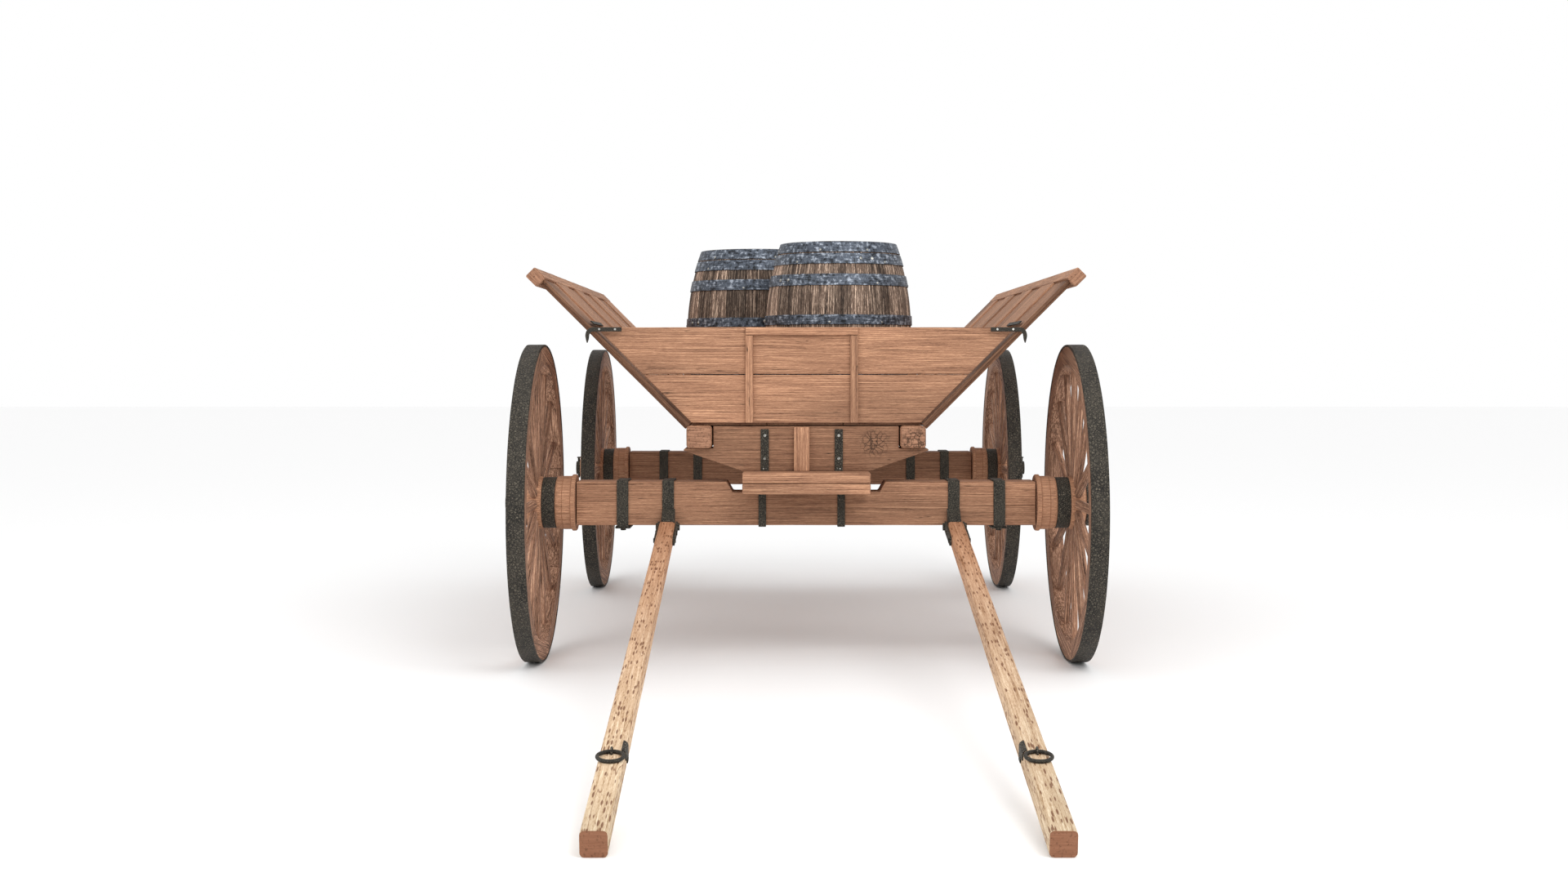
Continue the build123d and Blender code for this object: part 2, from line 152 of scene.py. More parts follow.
# %% Lay the studio floor
floor_mesh = bpy.data.meshes.new("studio_floor")
floor_shape = bmesh.new()
bmesh.ops.create_grid(floor_shape, x_segments=1, y_segments=1, size=40)
floor_shape.to_mesh(floor_mesh)
floor_shape.free()
studio_floor = bpy.data.objects.new("studio_floor", floor_mesh)
bpy.context.scene.collection.objects.link(studio_floor)
floor_paint, _, floor_shader = new_finish("matt_white_studio_paint")
floor_shader.inputs["Base Color"].default_value = linear("#fafafa")
floor_shader.inputs["Roughness"].default_value = 0.9
floor_mesh.materials.append(floor_paint)

# %% [markdown]
# Old sawn timber
#
# The wagon is built of a reddish softwood, sawn, planed and left bare. Along the grain its colour
# hardly changes, and across it there is a new streak every few millimetres, so the pattern is
# noise squeezed across the grain and stretched along it. Every timber carries a "grain" attribute
# that holds the place of each point on its own plank, with the grain along X. One finish then
# suits a beam that lies across, a sill that runs back and a spoke that points outwards.

# %% Timber finish
MM = 0.001


def add_shakes(tree, result, crack, shakes):
    """Opens branching black cracks in a colour, inside each (x, y, z, radius) place."""
    for x, y, z, radius in shakes:
        place = add_node(tree, "ShaderNodeTexCoord")
        wander = add_node(tree, "ShaderNodeTexNoise", {"Scale": 55.0, "Detail": 4.0},
                          {"Vector": place.outputs["Object"]})
        moved = add_node(tree, "ShaderNodeVectorMath", {1: (0.02, 0.02, 0.02)},
                         {0: wander.outputs["Color"], 2: place.outputs["Object"]},
                         operation="MULTIPLY_ADD")
        branches = add_node(tree, "ShaderNodeTexVoronoi", {"Scale": 60.0},
                            {"Vector": moved.outputs[0]}, feature="DISTANCE_TO_EDGE")
        thin = add_node(tree, "ShaderNodeMapRange",
                        {"From Min": 0.0, "From Max": 0.14, "To Min": 1.0, "To Max": 0.0},
                        {"Value": branches.outputs["Distance"]})
        away = add_node(tree, "ShaderNodeVectorMath", {1: (x, y, z)},
                        {0: moved.outputs[0]}, operation="DISTANCE")
        inside = add_node(tree, "ShaderNodeMapRange",
                          {"From Min": radius, "From Max": radius * 0.45, "To Min": 0.0,
                           "To Max": 0.9}, {"Value": away.outputs["Value"]})
        opened = add_node(tree, "ShaderNodeMath",
                          links={0: thin.outputs[0], 1: inside.outputs[0]}, operation="MULTIPLY")
        split_wood = add_node(tree, "ShaderNodeMix", {"B": linear(crack)},
                              {"Factor": opened.outputs[0], "A": result}, data_type="RGBA")
        result = split_wood.outputs["Result"]
    return result


def timber(name, dark, middle, light, crack, flecks=None, streak_mm=3.2,
           low_tone=(0.30, 0.27, 0.25), high_tone=(1.24, 1.25, 1.26), shakes=()):
    """Bare weathered wood: colour streaks, fine fibres, drying cracks and per-plank tone.

    A plank's tone of 0 multiplies its colour by low_tone, and 1 by high_tone. Most tones
    differ at random; some pieces are given low tones as painted shade, and along the shafts
    the tone also holds painted light. Each of the shakes is a (x, y, z, radius) place where
    dry wood has opened in branching black cracks.
    """
    material, tree, shader = new_finish(name)
    grain = add_node(tree, "ShaderNodeAttribute", attribute_name="grain")
    plank = add_node(tree, "ShaderNodeAttribute", attribute_name="plank")
    across = 1 / (streak_mm * MM)

    sway = add_node(tree, "ShaderNodeTexNoise", {"Scale": 1.0, "Detail": 2.0})
    stretch = add_node(tree, "ShaderNodeMapping", {"Scale": (1.6, 9, 9)},
                       {"Vector": grain.outputs["Vector"]})
    tree.links.new(stretch.outputs[0], sway.inputs["Vector"])
    swayed = add_node(tree, "ShaderNodeVectorMath", {1: (0.5, 0.5, 0.5)},
                      {0: sway.outputs["Color"]}, operation="SUBTRACT")
    bent = add_node(tree, "ShaderNodeVectorMath", {1: (0, 0.010, 0.010)},
                    {0: swayed.outputs[0], 2: grain.outputs["Vector"]}, operation="MULTIPLY_ADD")

    def streaks(along, cross, detail, rough=0.6):
        """Noise stretched along the grain."""
        squeeze = add_node(tree, "ShaderNodeMapping", {"Scale": (along, cross, cross)},
                           {"Vector": bent.outputs[0]})
        return add_node(tree, "ShaderNodeTexNoise",
                        {"Scale": 1.0, "Detail": detail, "Roughness": rough},
                        {"Vector": squeeze.outputs[0]}).outputs["Fac"]

    broad = streaks(4, across * 1.3, 5, 0.72)
    fibre = streaks(55, across * 4, 3, 0.75)
    split = streaks(1.3, across * 0.22, 2, 0.5)
    patch = streaks(1.1, 5, 2, 0.5)

    mixed = add_node(tree, "ShaderNodeMath", {1: 0.6}, {0: fibre, 2: broad},
                     operation="MULTIPLY_ADD")
    settle = add_node(tree, "ShaderNodeMath", {1: 0.3}, {0: mixed.outputs[0]},
                      operation="SUBTRACT")
    colour = add_node(tree, "ShaderNodeValToRGB", links={"Fac": settle.outputs[0]})
    paint_ramp(colour, [(0.36, dark), (0.47, middle), (0.54, middle), (0.64, light)])

    weather = add_node(tree, "ShaderNodeMapRange",
                       {"From Min": 0.35, "From Max": 0.65, "To Min": 0.8, "To Max": 1.12},
                       {"Value": patch})
    swing = add_node(tree, "ShaderNodeMix", {"A": (*low_tone, 1), "B": (*high_tone, 1)},
                     {"Factor": plank.outputs["Fac"]}, data_type="RGBA")
    shade = add_node(tree, "ShaderNodeVectorMath",
                     links={0: swing.outputs["Result"], 3: weather.outputs[0]}, operation="SCALE")
    toned = add_node(tree, "ShaderNodeVectorMath", links={0: colour.outputs[0],
                     1: shade.outputs[0]}, operation="MULTIPLY")

    line = add_node(tree, "ShaderNodeMapRange",
                    {"From Min": 0.006, "From Max": 0.0, "To Min": 0.0, "To Max": 0.9})
    near = add_node(tree, "ShaderNodeMath", {1: 0.61}, {0: split}, operation="SUBTRACT")
    level = add_node(tree, "ShaderNodeMath", links={0: near.outputs[0]}, operation="ABSOLUTE")
    tree.links.new(level.outputs[0], line.inputs["Value"])
    cracked = add_node(tree, "ShaderNodeMix", {"B": linear(crack)},
                       {"Factor": line.outputs[0], "A": toned.outputs[0]}, data_type="RGBA")
    result = cracked.outputs["Result"]

    if flecks:
        dashes = add_node(tree, "ShaderNodeMapping", {"Scale": (26, 170, 170)},
                          {"Vector": bent.outputs[0]})
        cells = add_node(tree, "ShaderNodeTexVoronoi", {"Scale": 1.0, "Randomness": 1.0},
                         {"Vector": dashes.outputs[0]})
        pick = add_node(tree, "ShaderNodeMapRange",
                        {"From Min": 0.50, "From Max": 0.34, "To Min": 0.0, "To Max": 0.85},
                        {"Value": cells.outputs["Distance"]})
        some = add_node(tree, "ShaderNodeSeparateColor", links={0: cells.outputs["Color"]})
        few = add_node(tree, "ShaderNodeMath", {1: 0.66}, {0: some.outputs[0]},
                       operation="GREATER_THAN")
        shown = add_node(tree, "ShaderNodeMath",
                         links={0: pick.outputs[0], 1: few.outputs[0]}, operation="MULTIPLY")
        flecked = add_node(tree, "ShaderNodeMix", {"B": linear(flecks)},
                           {"Factor": shown.outputs[0], "A": result}, data_type="RGBA")
        result = flecked.outputs["Result"]

    result = add_shakes(tree, result, crack, shakes)
    tree.links.new(result, shader.inputs["Base Color"])
    shader.inputs["Specular IOR Level"].default_value = 0.25
    rough = add_node(tree, "ShaderNodeMapRange", {"To Min": 0.62, "To Max": 0.9}, {"Value": broad})
    tree.links.new(rough.outputs[0], shader.inputs["Roughness"])
    relief = add_node(tree, "ShaderNodeMath", {1: -0.8},
                      {0: line.outputs[0], 2: settle.outputs[0]}, operation="MULTIPLY_ADD")
    bump = add_node(tree, "ShaderNodeBump", {"Strength": 0.45, "Distance": 0.0012},
                    {"Height": relief.outputs[0]})
    tree.links.new(bump.outputs[0], shader.inputs["Normal"])
    return material


def end_grain(name, dark, light, pore, shakes=()):
    """The sawn end of a timber: growth rings that run across it, with open pores."""
    material, tree, shader = new_finish(name)
    grain = add_node(tree, "ShaderNodeAttribute", attribute_name="grain")
    flat = add_node(tree, "ShaderNodeMapping", {"Scale": (4, 14, 330)},
                    {"Vector": grain.outputs["Vector"]})
    rings = add_node(tree, "ShaderNodeTexNoise", {"Scale": 1.0, "Detail": 4.0, "Roughness": 0.65},
                     {"Vector": flat.outputs[0]})
    colour = add_node(tree, "ShaderNodeValToRGB", links={"Fac": rings.outputs["Fac"]})
    paint_ramp(colour, [(0.34, dark), (0.62, light)])
    dots = add_node(tree, "ShaderNodeTexNoise", {"Scale": 170.0, "Detail": 3.0},
                    {"Vector": grain.outputs["Vector"]})
    pick = add_node(tree, "ShaderNodeMapRange",
                    {"From Min": 0.55, "From Max": 0.72, "To Min": 0.0, "To Max": 0.75},
                    {"Value": dots.outputs["Fac"]})
    pored = add_node(tree, "ShaderNodeMix", {"B": linear(pore)},
                     {"Factor": pick.outputs[0], "A": colour.outputs[0]}, data_type="RGBA")
    result = add_shakes(tree, pored.outputs["Result"], pore, shakes)
    tree.links.new(result, shader.inputs["Base Color"])
    shader.inputs["Specular IOR Level"].default_value = 0.25
    shader.inputs["Roughness"].default_value = 0.85
    bump = add_node(tree, "ShaderNodeBump", {"Strength": 0.4, "Distance": 0.001},
                    {"Height": dots.outputs["Fac"]})
    tree.links.new(bump.outputs[0], shader.inputs["Normal"])
    return material


cart_wood = timber("bare_sawn_larch", "#6a4836", "#a1765b", "#cf9f7d", "#2c1d15")
wheel_wood = timber("old_wheel_larch", "#402b20", "#936d57", "#dcb092", "#1f140e", streak_mm=5)
# where the ends of the front bolster and of its right sill have split: x, y, z and radius
bolster_shakes = ((0.245, -0.153, 0.772, 0.062), (0.385, -0.174, 0.778, 0.058))
cracked_wood = timber("cracked_sawn_larch", "#6a4836", "#a1765b", "#cf9f7d", "#150d09",
                      shakes=bolster_shakes)
cart_ends = end_grain("sawn_larch_end", "#6f4c3a", "#b08469", "#5d3f2e")
cracked_ends = end_grain("cracked_larch_end", "#6f4c3a", "#b08469", "#1b110b", bolster_shakes)
# the ash runs from darker and redder at the root to pale at the tip: partly its own colour, partly painted light
# at the tip against the lamps' falloff and painted shade at the root
shaft_wood = timber("bare_planed_ash", "#a07b55", "#c9a883", "#e2c7a2", "#80593d",
                    flecks="#6a4027", streak_mm=9, low_tone=(0.72, 0.50, 0.45),
                    high_tone=(1.04, 1.18, 1.34))
shaft_ends = end_grain("sawn_ash_end", "#835841", "#94674e", "#5a3a2a")
cask_oak = timber("weathered_cask_oak", "#15110e", "#65554a", "#dcc5b1", "#0d0a08",
                  streak_mm=7, low_tone=(0.34, 0.33, 0.32), high_tone=(2.2, 2.1, 2.03))
cask_ends = end_grain("weathered_oak_end", "#4a3d33", "#7d6a58", "#241c16")
print("timber finishes", [m.name for m in (cart_wood, cart_ends, wheel_wood, cracked_wood,
                                           cracked_ends, shaft_wood, shaft_ends, cask_oak,
                                           cask_ends)])

# %% [markdown]
# Forged iron
#
# The tyres, bands and straps came black from the smith's fire, and years outdoors have pitted
# them. Fire scale is almost matt and very dark, cracked like dry bark into small plates, with
# paler specks where it has chipped. Cell edges make the cracks, and noise makes the chips.


# %% Iron finish
def forged_iron(name, plate_mm, scale_colour, chip, crack, crack_share=0.045):
    """Pitted black iron: plates of scale about plate_mm across, with chips and cracks."""
    material, tree, shader = new_finish(name)
    place = add_node(tree, "ShaderNodeTexCoord")
    wobble = add_node(tree, "ShaderNodeTexNoise", {"Scale": 60.0, "Detail": 2.0},
                      {"Vector": place.outputs["Object"]})
    moved = add_node(tree, "ShaderNodeVectorMath", {1: (0.012, 0.012, 0.012)},
                     {0: wobble.outputs["Color"], 2: place.outputs["Object"]},
                     operation="MULTIPLY_ADD")
    plates = add_node(tree, "ShaderNodeTexVoronoi", {"Scale": 1 / (plate_mm * MM)},
                      {"Vector": moved.outputs[0]}, feature="DISTANCE_TO_EDGE")
    pits = add_node(tree, "ShaderNodeTexNoise",
                    {"Scale": 3.2 / (plate_mm * MM), "Detail": 3.0, "Roughness": 0.7},
                    {"Vector": place.outputs["Object"]})
    broad = add_node(tree, "ShaderNodeTexNoise", {"Scale": 9.0, "Detail": 3.0},
                     {"Vector": place.outputs["Object"]})
    colour = add_node(tree, "ShaderNodeValToRGB", links={"Fac": pits.outputs["Fac"]})
    paint_ramp(colour, [(0.40, crack), (0.47, scale_colour), (0.54, scale_colour), (0.64, chip)])
    gap = add_node(tree, "ShaderNodeMapRange",
                   {"From Min": 0.0, "From Max": crack_share, "To Min": 1.0, "To Max": 0.0},
                   {"Value": plates.outputs["Distance"]})
    only = add_node(tree, "ShaderNodeMapRange",
                    {"From Min": 0.42, "From Max": 0.58, "To Min": 0.7, "To Max": 1.0},
                    {"Value": broad.outputs["Fac"]})
    depth = add_node(tree, "ShaderNodeMath", links={0: gap.outputs[0], 1: only.outputs[0]},
                     operation="MULTIPLY")
    cracked = add_node(tree, "ShaderNodeMix", {"B": linear(crack)},
                       {"Factor": depth.outputs[0], "A": colour.outputs[0]}, data_type="RGBA")
    tree.links.new(cracked.outputs["Result"], shader.inputs["Base Color"])
    shader.inputs["Metallic"].default_value = 0.35
    rough = add_node(tree, "ShaderNodeMapRange", {"To Min": 0.5, "To Max": 0.8},
                     {"Value": pits.outputs["Fac"]})
    tree.links.new(rough.outputs[0], shader.inputs["Roughness"])
    height = add_node(tree, "ShaderNodeMath", {1: -0.9},
                      {0: depth.outputs[0], 2: pits.outputs["Fac"]}, operation="MULTIPLY_ADD")
    bump = add_node(tree, "ShaderNodeBump", {"Strength": 0.8, "Distance": 0.0025},
                    {"Height": height.outputs[0]})
    tree.links.new(bump.outputs[0], shader.inputs["Normal"])
    return material


strap_iron = forged_iron("forged_strap_iron", 8, "#3d3a31", "#958b7b", "#0e0c09", 0.14)
tyre_iron = forged_iron("weathered_tyre_iron", 10, "#4b453b", "#7c7466", "#0d0b08", 0.24)
small_iron = forged_iron("forged_small_iron", 5, "#35312a", "#6e675b", "#12100c")


# %% [markdown]
# Rubbed steel
#
# The cask hoops and the bolt heads are rolled steel. Handling rubs their high places bright, and
# damp leaves dull stains between, so one cloud of noise serves for colour, gloss and relief.

# %% Steel finish
def worn_steel(name, steel, worn, stain):
    """Rolled steel rubbed bright on its high places, with dull stains and fine scratches."""
    material, tree, shader = new_finish(name)
    place = add_node(tree, "ShaderNodeTexCoord")
    cloud = add_node(tree, "ShaderNodeTexNoise", {"Scale": 70.0, "Detail": 5.0, "Roughness": 0.6},
                     {"Vector": place.outputs["Object"]})
    squeeze = add_node(tree, "ShaderNodeMapping", {"Scale": (18, 18, 420)},
                       {"Vector": place.outputs["Object"]})
    rub = add_node(tree, "ShaderNodeTexNoise", {"Scale": 1.0, "Detail": 4.0},
                   {"Vector": squeeze.outputs[0]})
    both = add_node(tree, "ShaderNodeMath", {1: 0.5}, {0: rub.outputs["Fac"],
                    2: cloud.outputs["Fac"]}, operation="MULTIPLY_ADD")
    settle = add_node(tree, "ShaderNodeMath", {1: 0.25}, {0: both.outputs[0]},
                      operation="SUBTRACT")
    colour = add_node(tree, "ShaderNodeValToRGB", links={"Fac": settle.outputs[0]})
    paint_ramp(colour, [(0.36, stain), (0.48, steel), (0.55, steel), (0.67, worn)])
    tree.links.new(colour.outputs[0], shader.inputs["Base Color"])
    shader.inputs["Metallic"].default_value = 0.65
    rough = add_node(tree, "ShaderNodeMapRange", {"To Min": 0.35, "To Max": 0.7},
                     {"Value": cloud.outputs["Fac"]})
    tree.links.new(rough.outputs[0], shader.inputs["Roughness"])
    bump = add_node(tree, "ShaderNodeBump", {"Strength": 0.35, "Distance": 0.0008},
                    {"Height": settle.outputs[0]})
    tree.links.new(bump.outputs[0], shader.inputs["Normal"])
    return material


hoop_steel = worn_steel("worn_hoop_steel", "#525964", "#a9b1bc", "#1f2226")
bolt_steel = worn_steel("bright_bolt_steel", "#a9a9a4", "#e4e4de", "#5f5c55")
print("metal finishes", [m.name for m in (strap_iron, tyre_iron, small_iron, hoop_steel,
                                          bolt_steel)])

# %% [markdown]
# One way to shape every timber
#
# Each timber starts from a cube or an outline in its own space, with the grain along X. Its
# edges are bevelled, it is cut into short lengths, and its faces are moved in and out by less
# than a millimetre, as planing by hand leaves them. Then it is laid in its place on the wagon.

# %% Timber shaping helpers
luck = random.Random(1871)


def new_shape():
    """An empty bmesh with the two attributes that the timber finish reads."""
    shape = bmesh.new()
    shape.verts.layers.float_vector.new("grain")
    shape.verts.layers.float.new("plank")
    return shape


def fresh(shape):
    """The vertices that have not been laid in place yet."""
    mark = shape.verts.layers.float["plank"]
    return [v for v in shape.verts if v[mark] == 0.0]


def geometry_of(verts):
    """Vertices with their edges and faces, as bmesh operators want them."""
    edges = {edge for v in verts for edge in v.link_edges}
    faces = {face for v in verts for face in v.link_faces}
    return list(verts) + sorted(edges, key=lambda e: e.index) + sorted(faces, key=lambda f: f.index)


def edges_of(shape):
    """The edges of the newest timber."""
    return list({edge for v in fresh(shape) for edge in v.link_edges})


def faces_of(shape):
    """The faces of the newest timber."""
    return list({face for v in fresh(shape) for face in v.link_faces})


def soften(shape, edges, offset, segments=2):
    """Takes the sharpness off some edges, as wear does."""
    bmesh.ops.bevel(shape, geom=edges, offset=offset, segments=segments, profile=0.5,
                    affect="EDGES", material=-1)


def drawn_out(shape, faces, reach):
    """Draws faces out along a vector into a solid body, with its normals turned out."""
    grown = bmesh.ops.extrude_face_region(shape, geom=faces)["geom"]
    moved = [v for v in grown if isinstance(v, bmesh.types.BMVert)]
    bmesh.ops.translate(shape, verts=moved, vec=reach)
    bmesh.ops.recalc_face_normals(shape, faces=faces_of(shape))


def cut_lengths(shape, low, high, step, axis=(1, 0, 0)):
    """Cuts the newest timber across its grain every so often, so that its faces can waver."""
    count = int((high - low) / step)
    direction = Vector(axis)
    for cut in range(1, count):
        at = direction * (low + (high - low) * cut / count)
        shape.verts.index_update()
        shape.edges.index_update()
        shape.faces.index_update()
        bmesh.ops.bisect_plane(shape, geom=geometry_of(fresh(shape)), plane_co=at,
                               plane_no=direction)


def waver(shape, amount, size=0.11):
    """Moves the newest timber's faces in and out a little, never out of its own length."""
    shift = luck.uniform(0, 50)
    for v in fresh(shape):
        spot = Vector((v.co.x / size + shift, v.co.y * 9, v.co.z * 9))
        v.co.y += amount * noise.noise(spot)
        v.co.z += amount * noise.noise(spot + Vector((0, 0, 31)))


def lay(shape, place, tone=None, ends=True):
    """Gives the newest timber its grain and tone and its end faces, and puts it in its place."""
    grain = shape.verts.layers.float_vector["grain"]
    mark = shape.verts.layers.float["plank"]
    tone = luck.uniform(0.5, 0.92) if tone is None else tone
    shift = Vector((luck.uniform(-9, 9), luck.uniform(-3, 3), luck.uniform(-3, 3)))
    verts = fresh(shape)
    if ends:
        for face in faces_of(shape):
            face.normal_update()
            face.material_index = 1 if abs(face.normal.x) > 0.85 else 0
    for v in verts:
        v[grain] = v.co + shift
        v[mark] = tone
        v.co = place @ v.co


def plank(shape, size, place, wear=0.0022, amount=0.0007, tone=None, step=0.09, ends=True):
    """A sawn board, size = (length, width, thickness), centred on its place."""
    bmesh.ops.create_cube(shape, size=1.0, matrix=Matrix.Diagonal((*size, 1)))
    soften(shape, edges_of(shape), wear)
    cut_lengths(shape, -size[0] / 2, size[0] / 2, step)
    waver(shape, amount)
    lay(shape, place, tone, ends)


def profile_timber(shape, outline, thickness, place, wear=0.003, amount=0.0008, tone=None,
                   step=0.09, ends=True):
    """A timber cut to an outline of (x, z) points and as thick as given in y."""
    corners = [shape.verts.new((x, -thickness / 2, z)) for x, z in outline]
    drawn_out(shape, [shape.faces.new(corners)], (0, thickness, 0))
    soften(shape, edges_of(shape), wear)
    low = min(x for x, z in outline)
    high = max(x for x, z in outline)
    cut_lengths(shape, low, high, step)
    waver(shape, amount)
    lay(shape, place, tone, ends)


def as_piece(shape, name, materials, nodes, smooth=40):
    """Turns a finished shape into a piece that rides where the nodes it replaces ride."""
    mesh = bpy.data.meshes.new(name)
    shape.to_mesh(mesh)
    shape.free()
    for material in materials:
        mesh.materials.append(material)
    mesh.shade_smooth()
    mesh.set_sharp_from_angle(angle=math.radians(smooth))
    piece = bpy.data.objects.new(name, mesh)
    bpy.context.scene.collection.objects.link(piece)
    normals = piece.modifiers.new("even_normals", "WEIGHTED_NORMAL")
    normals.keep_sharp = True
    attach(piece, body_of_node[nodes[0]])
    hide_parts(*nodes)
    print(name, len(mesh.polygons), "faces, for", ", ".join(nodes))


def middle(low, high):
    """The middle of a box as a matrix that moves there."""
    return Matrix.Translation((low + high) / 2)


TURN_Z = Matrix.Rotation(math.radians(90), 4, "Z")  # the grain runs front to back
TURN_Y = Matrix.Rotation(math.radians(-90), 4, "Y")  # the grain runs upwards

# %% [markdown]
# Axle beams, bolsters and turning planks
#
# The heavy cross timbers are shaped from their outlines. The axle beams are notched on top for
# the turning planks, and the bolsters taper below like a boat's frame and are notched for the
# two sills.

# %% Cross timbers
def cross_outline(right_half):
    """The outline of a timber that lies across, from the (x, z) points of its right half."""
    return [*right_half, *[(-x, z) for x, z in reversed(right_half)]]


notch_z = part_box("lower_turning_plate")[0].z
sill_low, sill_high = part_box("bed_sills")
sill_width = 0.088
sill_inner = sill_high.x - sill_width
for end in ("front", "rear"):
    low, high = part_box(f"{end}_axle_beam")
    beam = new_shape()
    right_half = [(high.x, low.z), (high.x, high.z), (0.273, high.z), (0.253, notch_z)]
    # the beams are toned darker as painted shade for the dimness low under the bed, the rear beam darkest
    profile_timber(beam, cross_outline(right_half), high.y - low.y - 0.002,
                   Matrix.Translation((0, (low.y + high.y) / 2, 0)), wear=0.0035,
                   tone=0.6 if end == "front" else 0.4)
    as_piece(beam, f"{end}_axle_timber", [cart_wood, cart_ends],
             [f"{end}_axle_beam"])

    low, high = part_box(f"{end}_bolster")
    right_half = [(0.221, low.z), (high.x, low.z + 0.07), (high.x, low.z + 0.074),
                  (high.x - 0.006, sill_low.z), (sill_inner - 0.004, sill_low.z),
                  (sill_inner - 0.004, high.z)]
    bolster = new_shape()
    # the bolster's low tone is painted shade for the dimness low under the bed
    profile_timber(bolster, cross_outline(right_half), high.y - low.y - 0.002,
                   Matrix.Translation((0, (low.y + high.y) / 2, 0)), tone=0.47)
    face_wood = cracked_wood if end == "front" else cart_wood
    as_piece(bolster, f"{end}_bolster_timber", [face_wood, cart_ends],
             [f"{end}_bolster"])

for node in ("lower_turning_plate", "upper_turning_plate"):
    low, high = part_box(node)
    pair = new_shape()
    width = (high.y - low.y) / 2 - 0.0008
    for half in (-1, 1):
        place = Matrix.Translation(((low.x + high.x) / 2, (low.y + high.y) / 2
                                    + half * (width / 2 + 0.0006), (low.z + high.z) / 2))
        plank(pair, (high.x - low.x, width, high.z - low.z), place, wear=0.005, tone=0.8)
    as_piece(pair, node + "_planks", [cart_wood, cart_ends], [node])

low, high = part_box("rear_bolster_block")
packing = new_shape()
plank(packing, (high.x - low.x, high.y - low.y, high.z - low.z), middle(low, high), wear=0.004)
as_piece(packing, "rear_packing_block", [cart_wood, cart_ends],
         ["rear_bolster_block"])

low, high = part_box("bolster_cleats")
cleats = new_shape()
cleat_depth = 0.018
for y in (low.y + cleat_depth / 2, high.y - cleat_depth / 2):
    place = Matrix.Translation(((low.x + high.x) / 2, y, (low.z + high.z) / 2)) @ TURN_Y
    plank(cleats, (high.z - low.z, cleat_depth, high.x - low.x), place, wear=0.003, tone=0.86,
          step=0.03)
as_piece(cleats, "bolster_cleat_pair", [cart_wood, cart_ends], ["bolster_cleats"])

# %% [markdown]
# Bed: sills, joists, floor and end boards
#
# Two sills carry everything. Three wide planks make the floor, and each end is closed by two
# boards held together by upright battens. The gaps between boards are real gaps of one or two
# millimetres, because a painted line never catches the light as an edge does.

# %% Bed
sills = new_shape()
for side in (-1, 1):
    centre = ((sill_high.x - sill_width / 2) * side, (sill_low.y + sill_high.y) / 2,
              (sill_low.z + sill_high.z) / 2)
    plank(sills, (sill_high.y - sill_low.y, sill_width, sill_high.z - sill_low.z),
          Matrix.Translation(centre) @ TURN_Z, wear=0.011, tone=0.74)
pin_low, pin_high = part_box("king_pin")
front_y = (pin_low.y + pin_high.y) / 2
rear_low, rear_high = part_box("rear_axle_beam")
rear_y = (rear_low.y + rear_high.y) / 2
joist_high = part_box("floor_planks")[0].z
joist_width, joist_depth = 0.08, 0.062
for y in (front_y + 0.62, rear_y - 0.62, (front_y + rear_y) / 2):
    plank(sills, (2 * sill_inner, joist_width, joist_depth),
          Matrix.Translation((0, y, joist_high - joist_depth / 2)), wear=0.003)
as_piece(sills, "sills_and_joists", [cracked_wood, cracked_ends], ["bed_sills"])

low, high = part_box("floor_planks")
floor_seams = (-0.394, -0.135, 0.128, 0.394)
floor_boards = new_shape()
for left, right in zip(floor_seams, floor_seams[1:]):
    centre = ((left + right) / 2, (low.y + high.y) / 2, (low.z + high.z) / 2)
    plank(floor_boards, (high.y - low.y, right - left - 0.002, high.z - low.z),
          Matrix.Translation(centre) @ TURN_Z, wear=0.002)
as_piece(floor_boards, "floor_board_set", [cart_wood, cart_ends], ["floor_planks"])

board_seam = 0.996
board_edge = 0.4365  # an end board's edge stands at x = z - board_edge
batten_width, batten_x, batten_top = 0.027, 0.18, 1.13
for end in ("front", "rear"):
    low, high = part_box(f"{end}_board_planks")
    boards = new_shape()
    for bottom, top in ((low.z, board_seam - 0.0015), (board_seam + 0.0015, high.z)):
        wide_low = bottom - board_edge
        wide_high = top - board_edge
        outline = [(-wide_low, bottom), (wide_low, bottom), (wide_high, top), (-wide_high, top)]
        profile_timber(boards, outline, high.y - low.y,
                       Matrix.Translation((0, (low.y + high.y) / 2, 0)), wear=0.0025, tone=0.78)
    as_piece(boards, f"{end}_board_pair", [cart_wood, cart_ends],
             [f"{end}_board_planks"])

    low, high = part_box(f"{end}_board_battens")
    frame_bars = new_shape()
    depth = high.y - low.y
    y = (low.y + high.y) / 2
    frame_x = (low.x + high.x) / 2
    for x in (frame_x - batten_x, frame_x + batten_x):
        place = Matrix.Translation((x, y, (low.z + batten_top) / 2)) @ TURN_Y
        plank(frame_bars, (batten_top - low.z, depth, batten_width), place, wear=0.003, tone=0.8,
              step=0.04)
    bar_low = batten_top + 0.001
    place = Matrix.Translation((frame_x, y, (bar_low + high.z) / 2))
    plank(frame_bars, (high.x - low.x, depth, high.z - bar_low), place, wear=0.003, tone=0.84)
    as_piece(frame_bars, f"{end}_batten_frame", [cart_wood, cart_ends],
             [f"{end}_board_battens"])

# %% [markdown]
# Flared sides
#
# A side leans out at 45 degrees. Its planks run up the slope, side by side, so it is a row of
# short boards under one thick rail. Each board is a little thicker or thinner than the next, and
# that step is what draws the seams.

# %% Sides
slope = math.sqrt(0.5)
planks_low, planks_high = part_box("side_planks_right")
rail_low, rail_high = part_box("top_rails")
side_foot = 0.829
side_inner = 0.4345  # the inner face of a side stands at x = z - side_inner
plank_ends = (0, 0.125, 0.26, 0.37, 0.48, 0.6, 0.72, 0.86, 1)  # shares of the bed's length
plank_thick, stake_thick, stake_width = 0.018, 0.012, 0.068
rail_width, rail_thick = 0.0535, 0.0446
rail_slot = 0.054  # the length of slope that a rail takes up


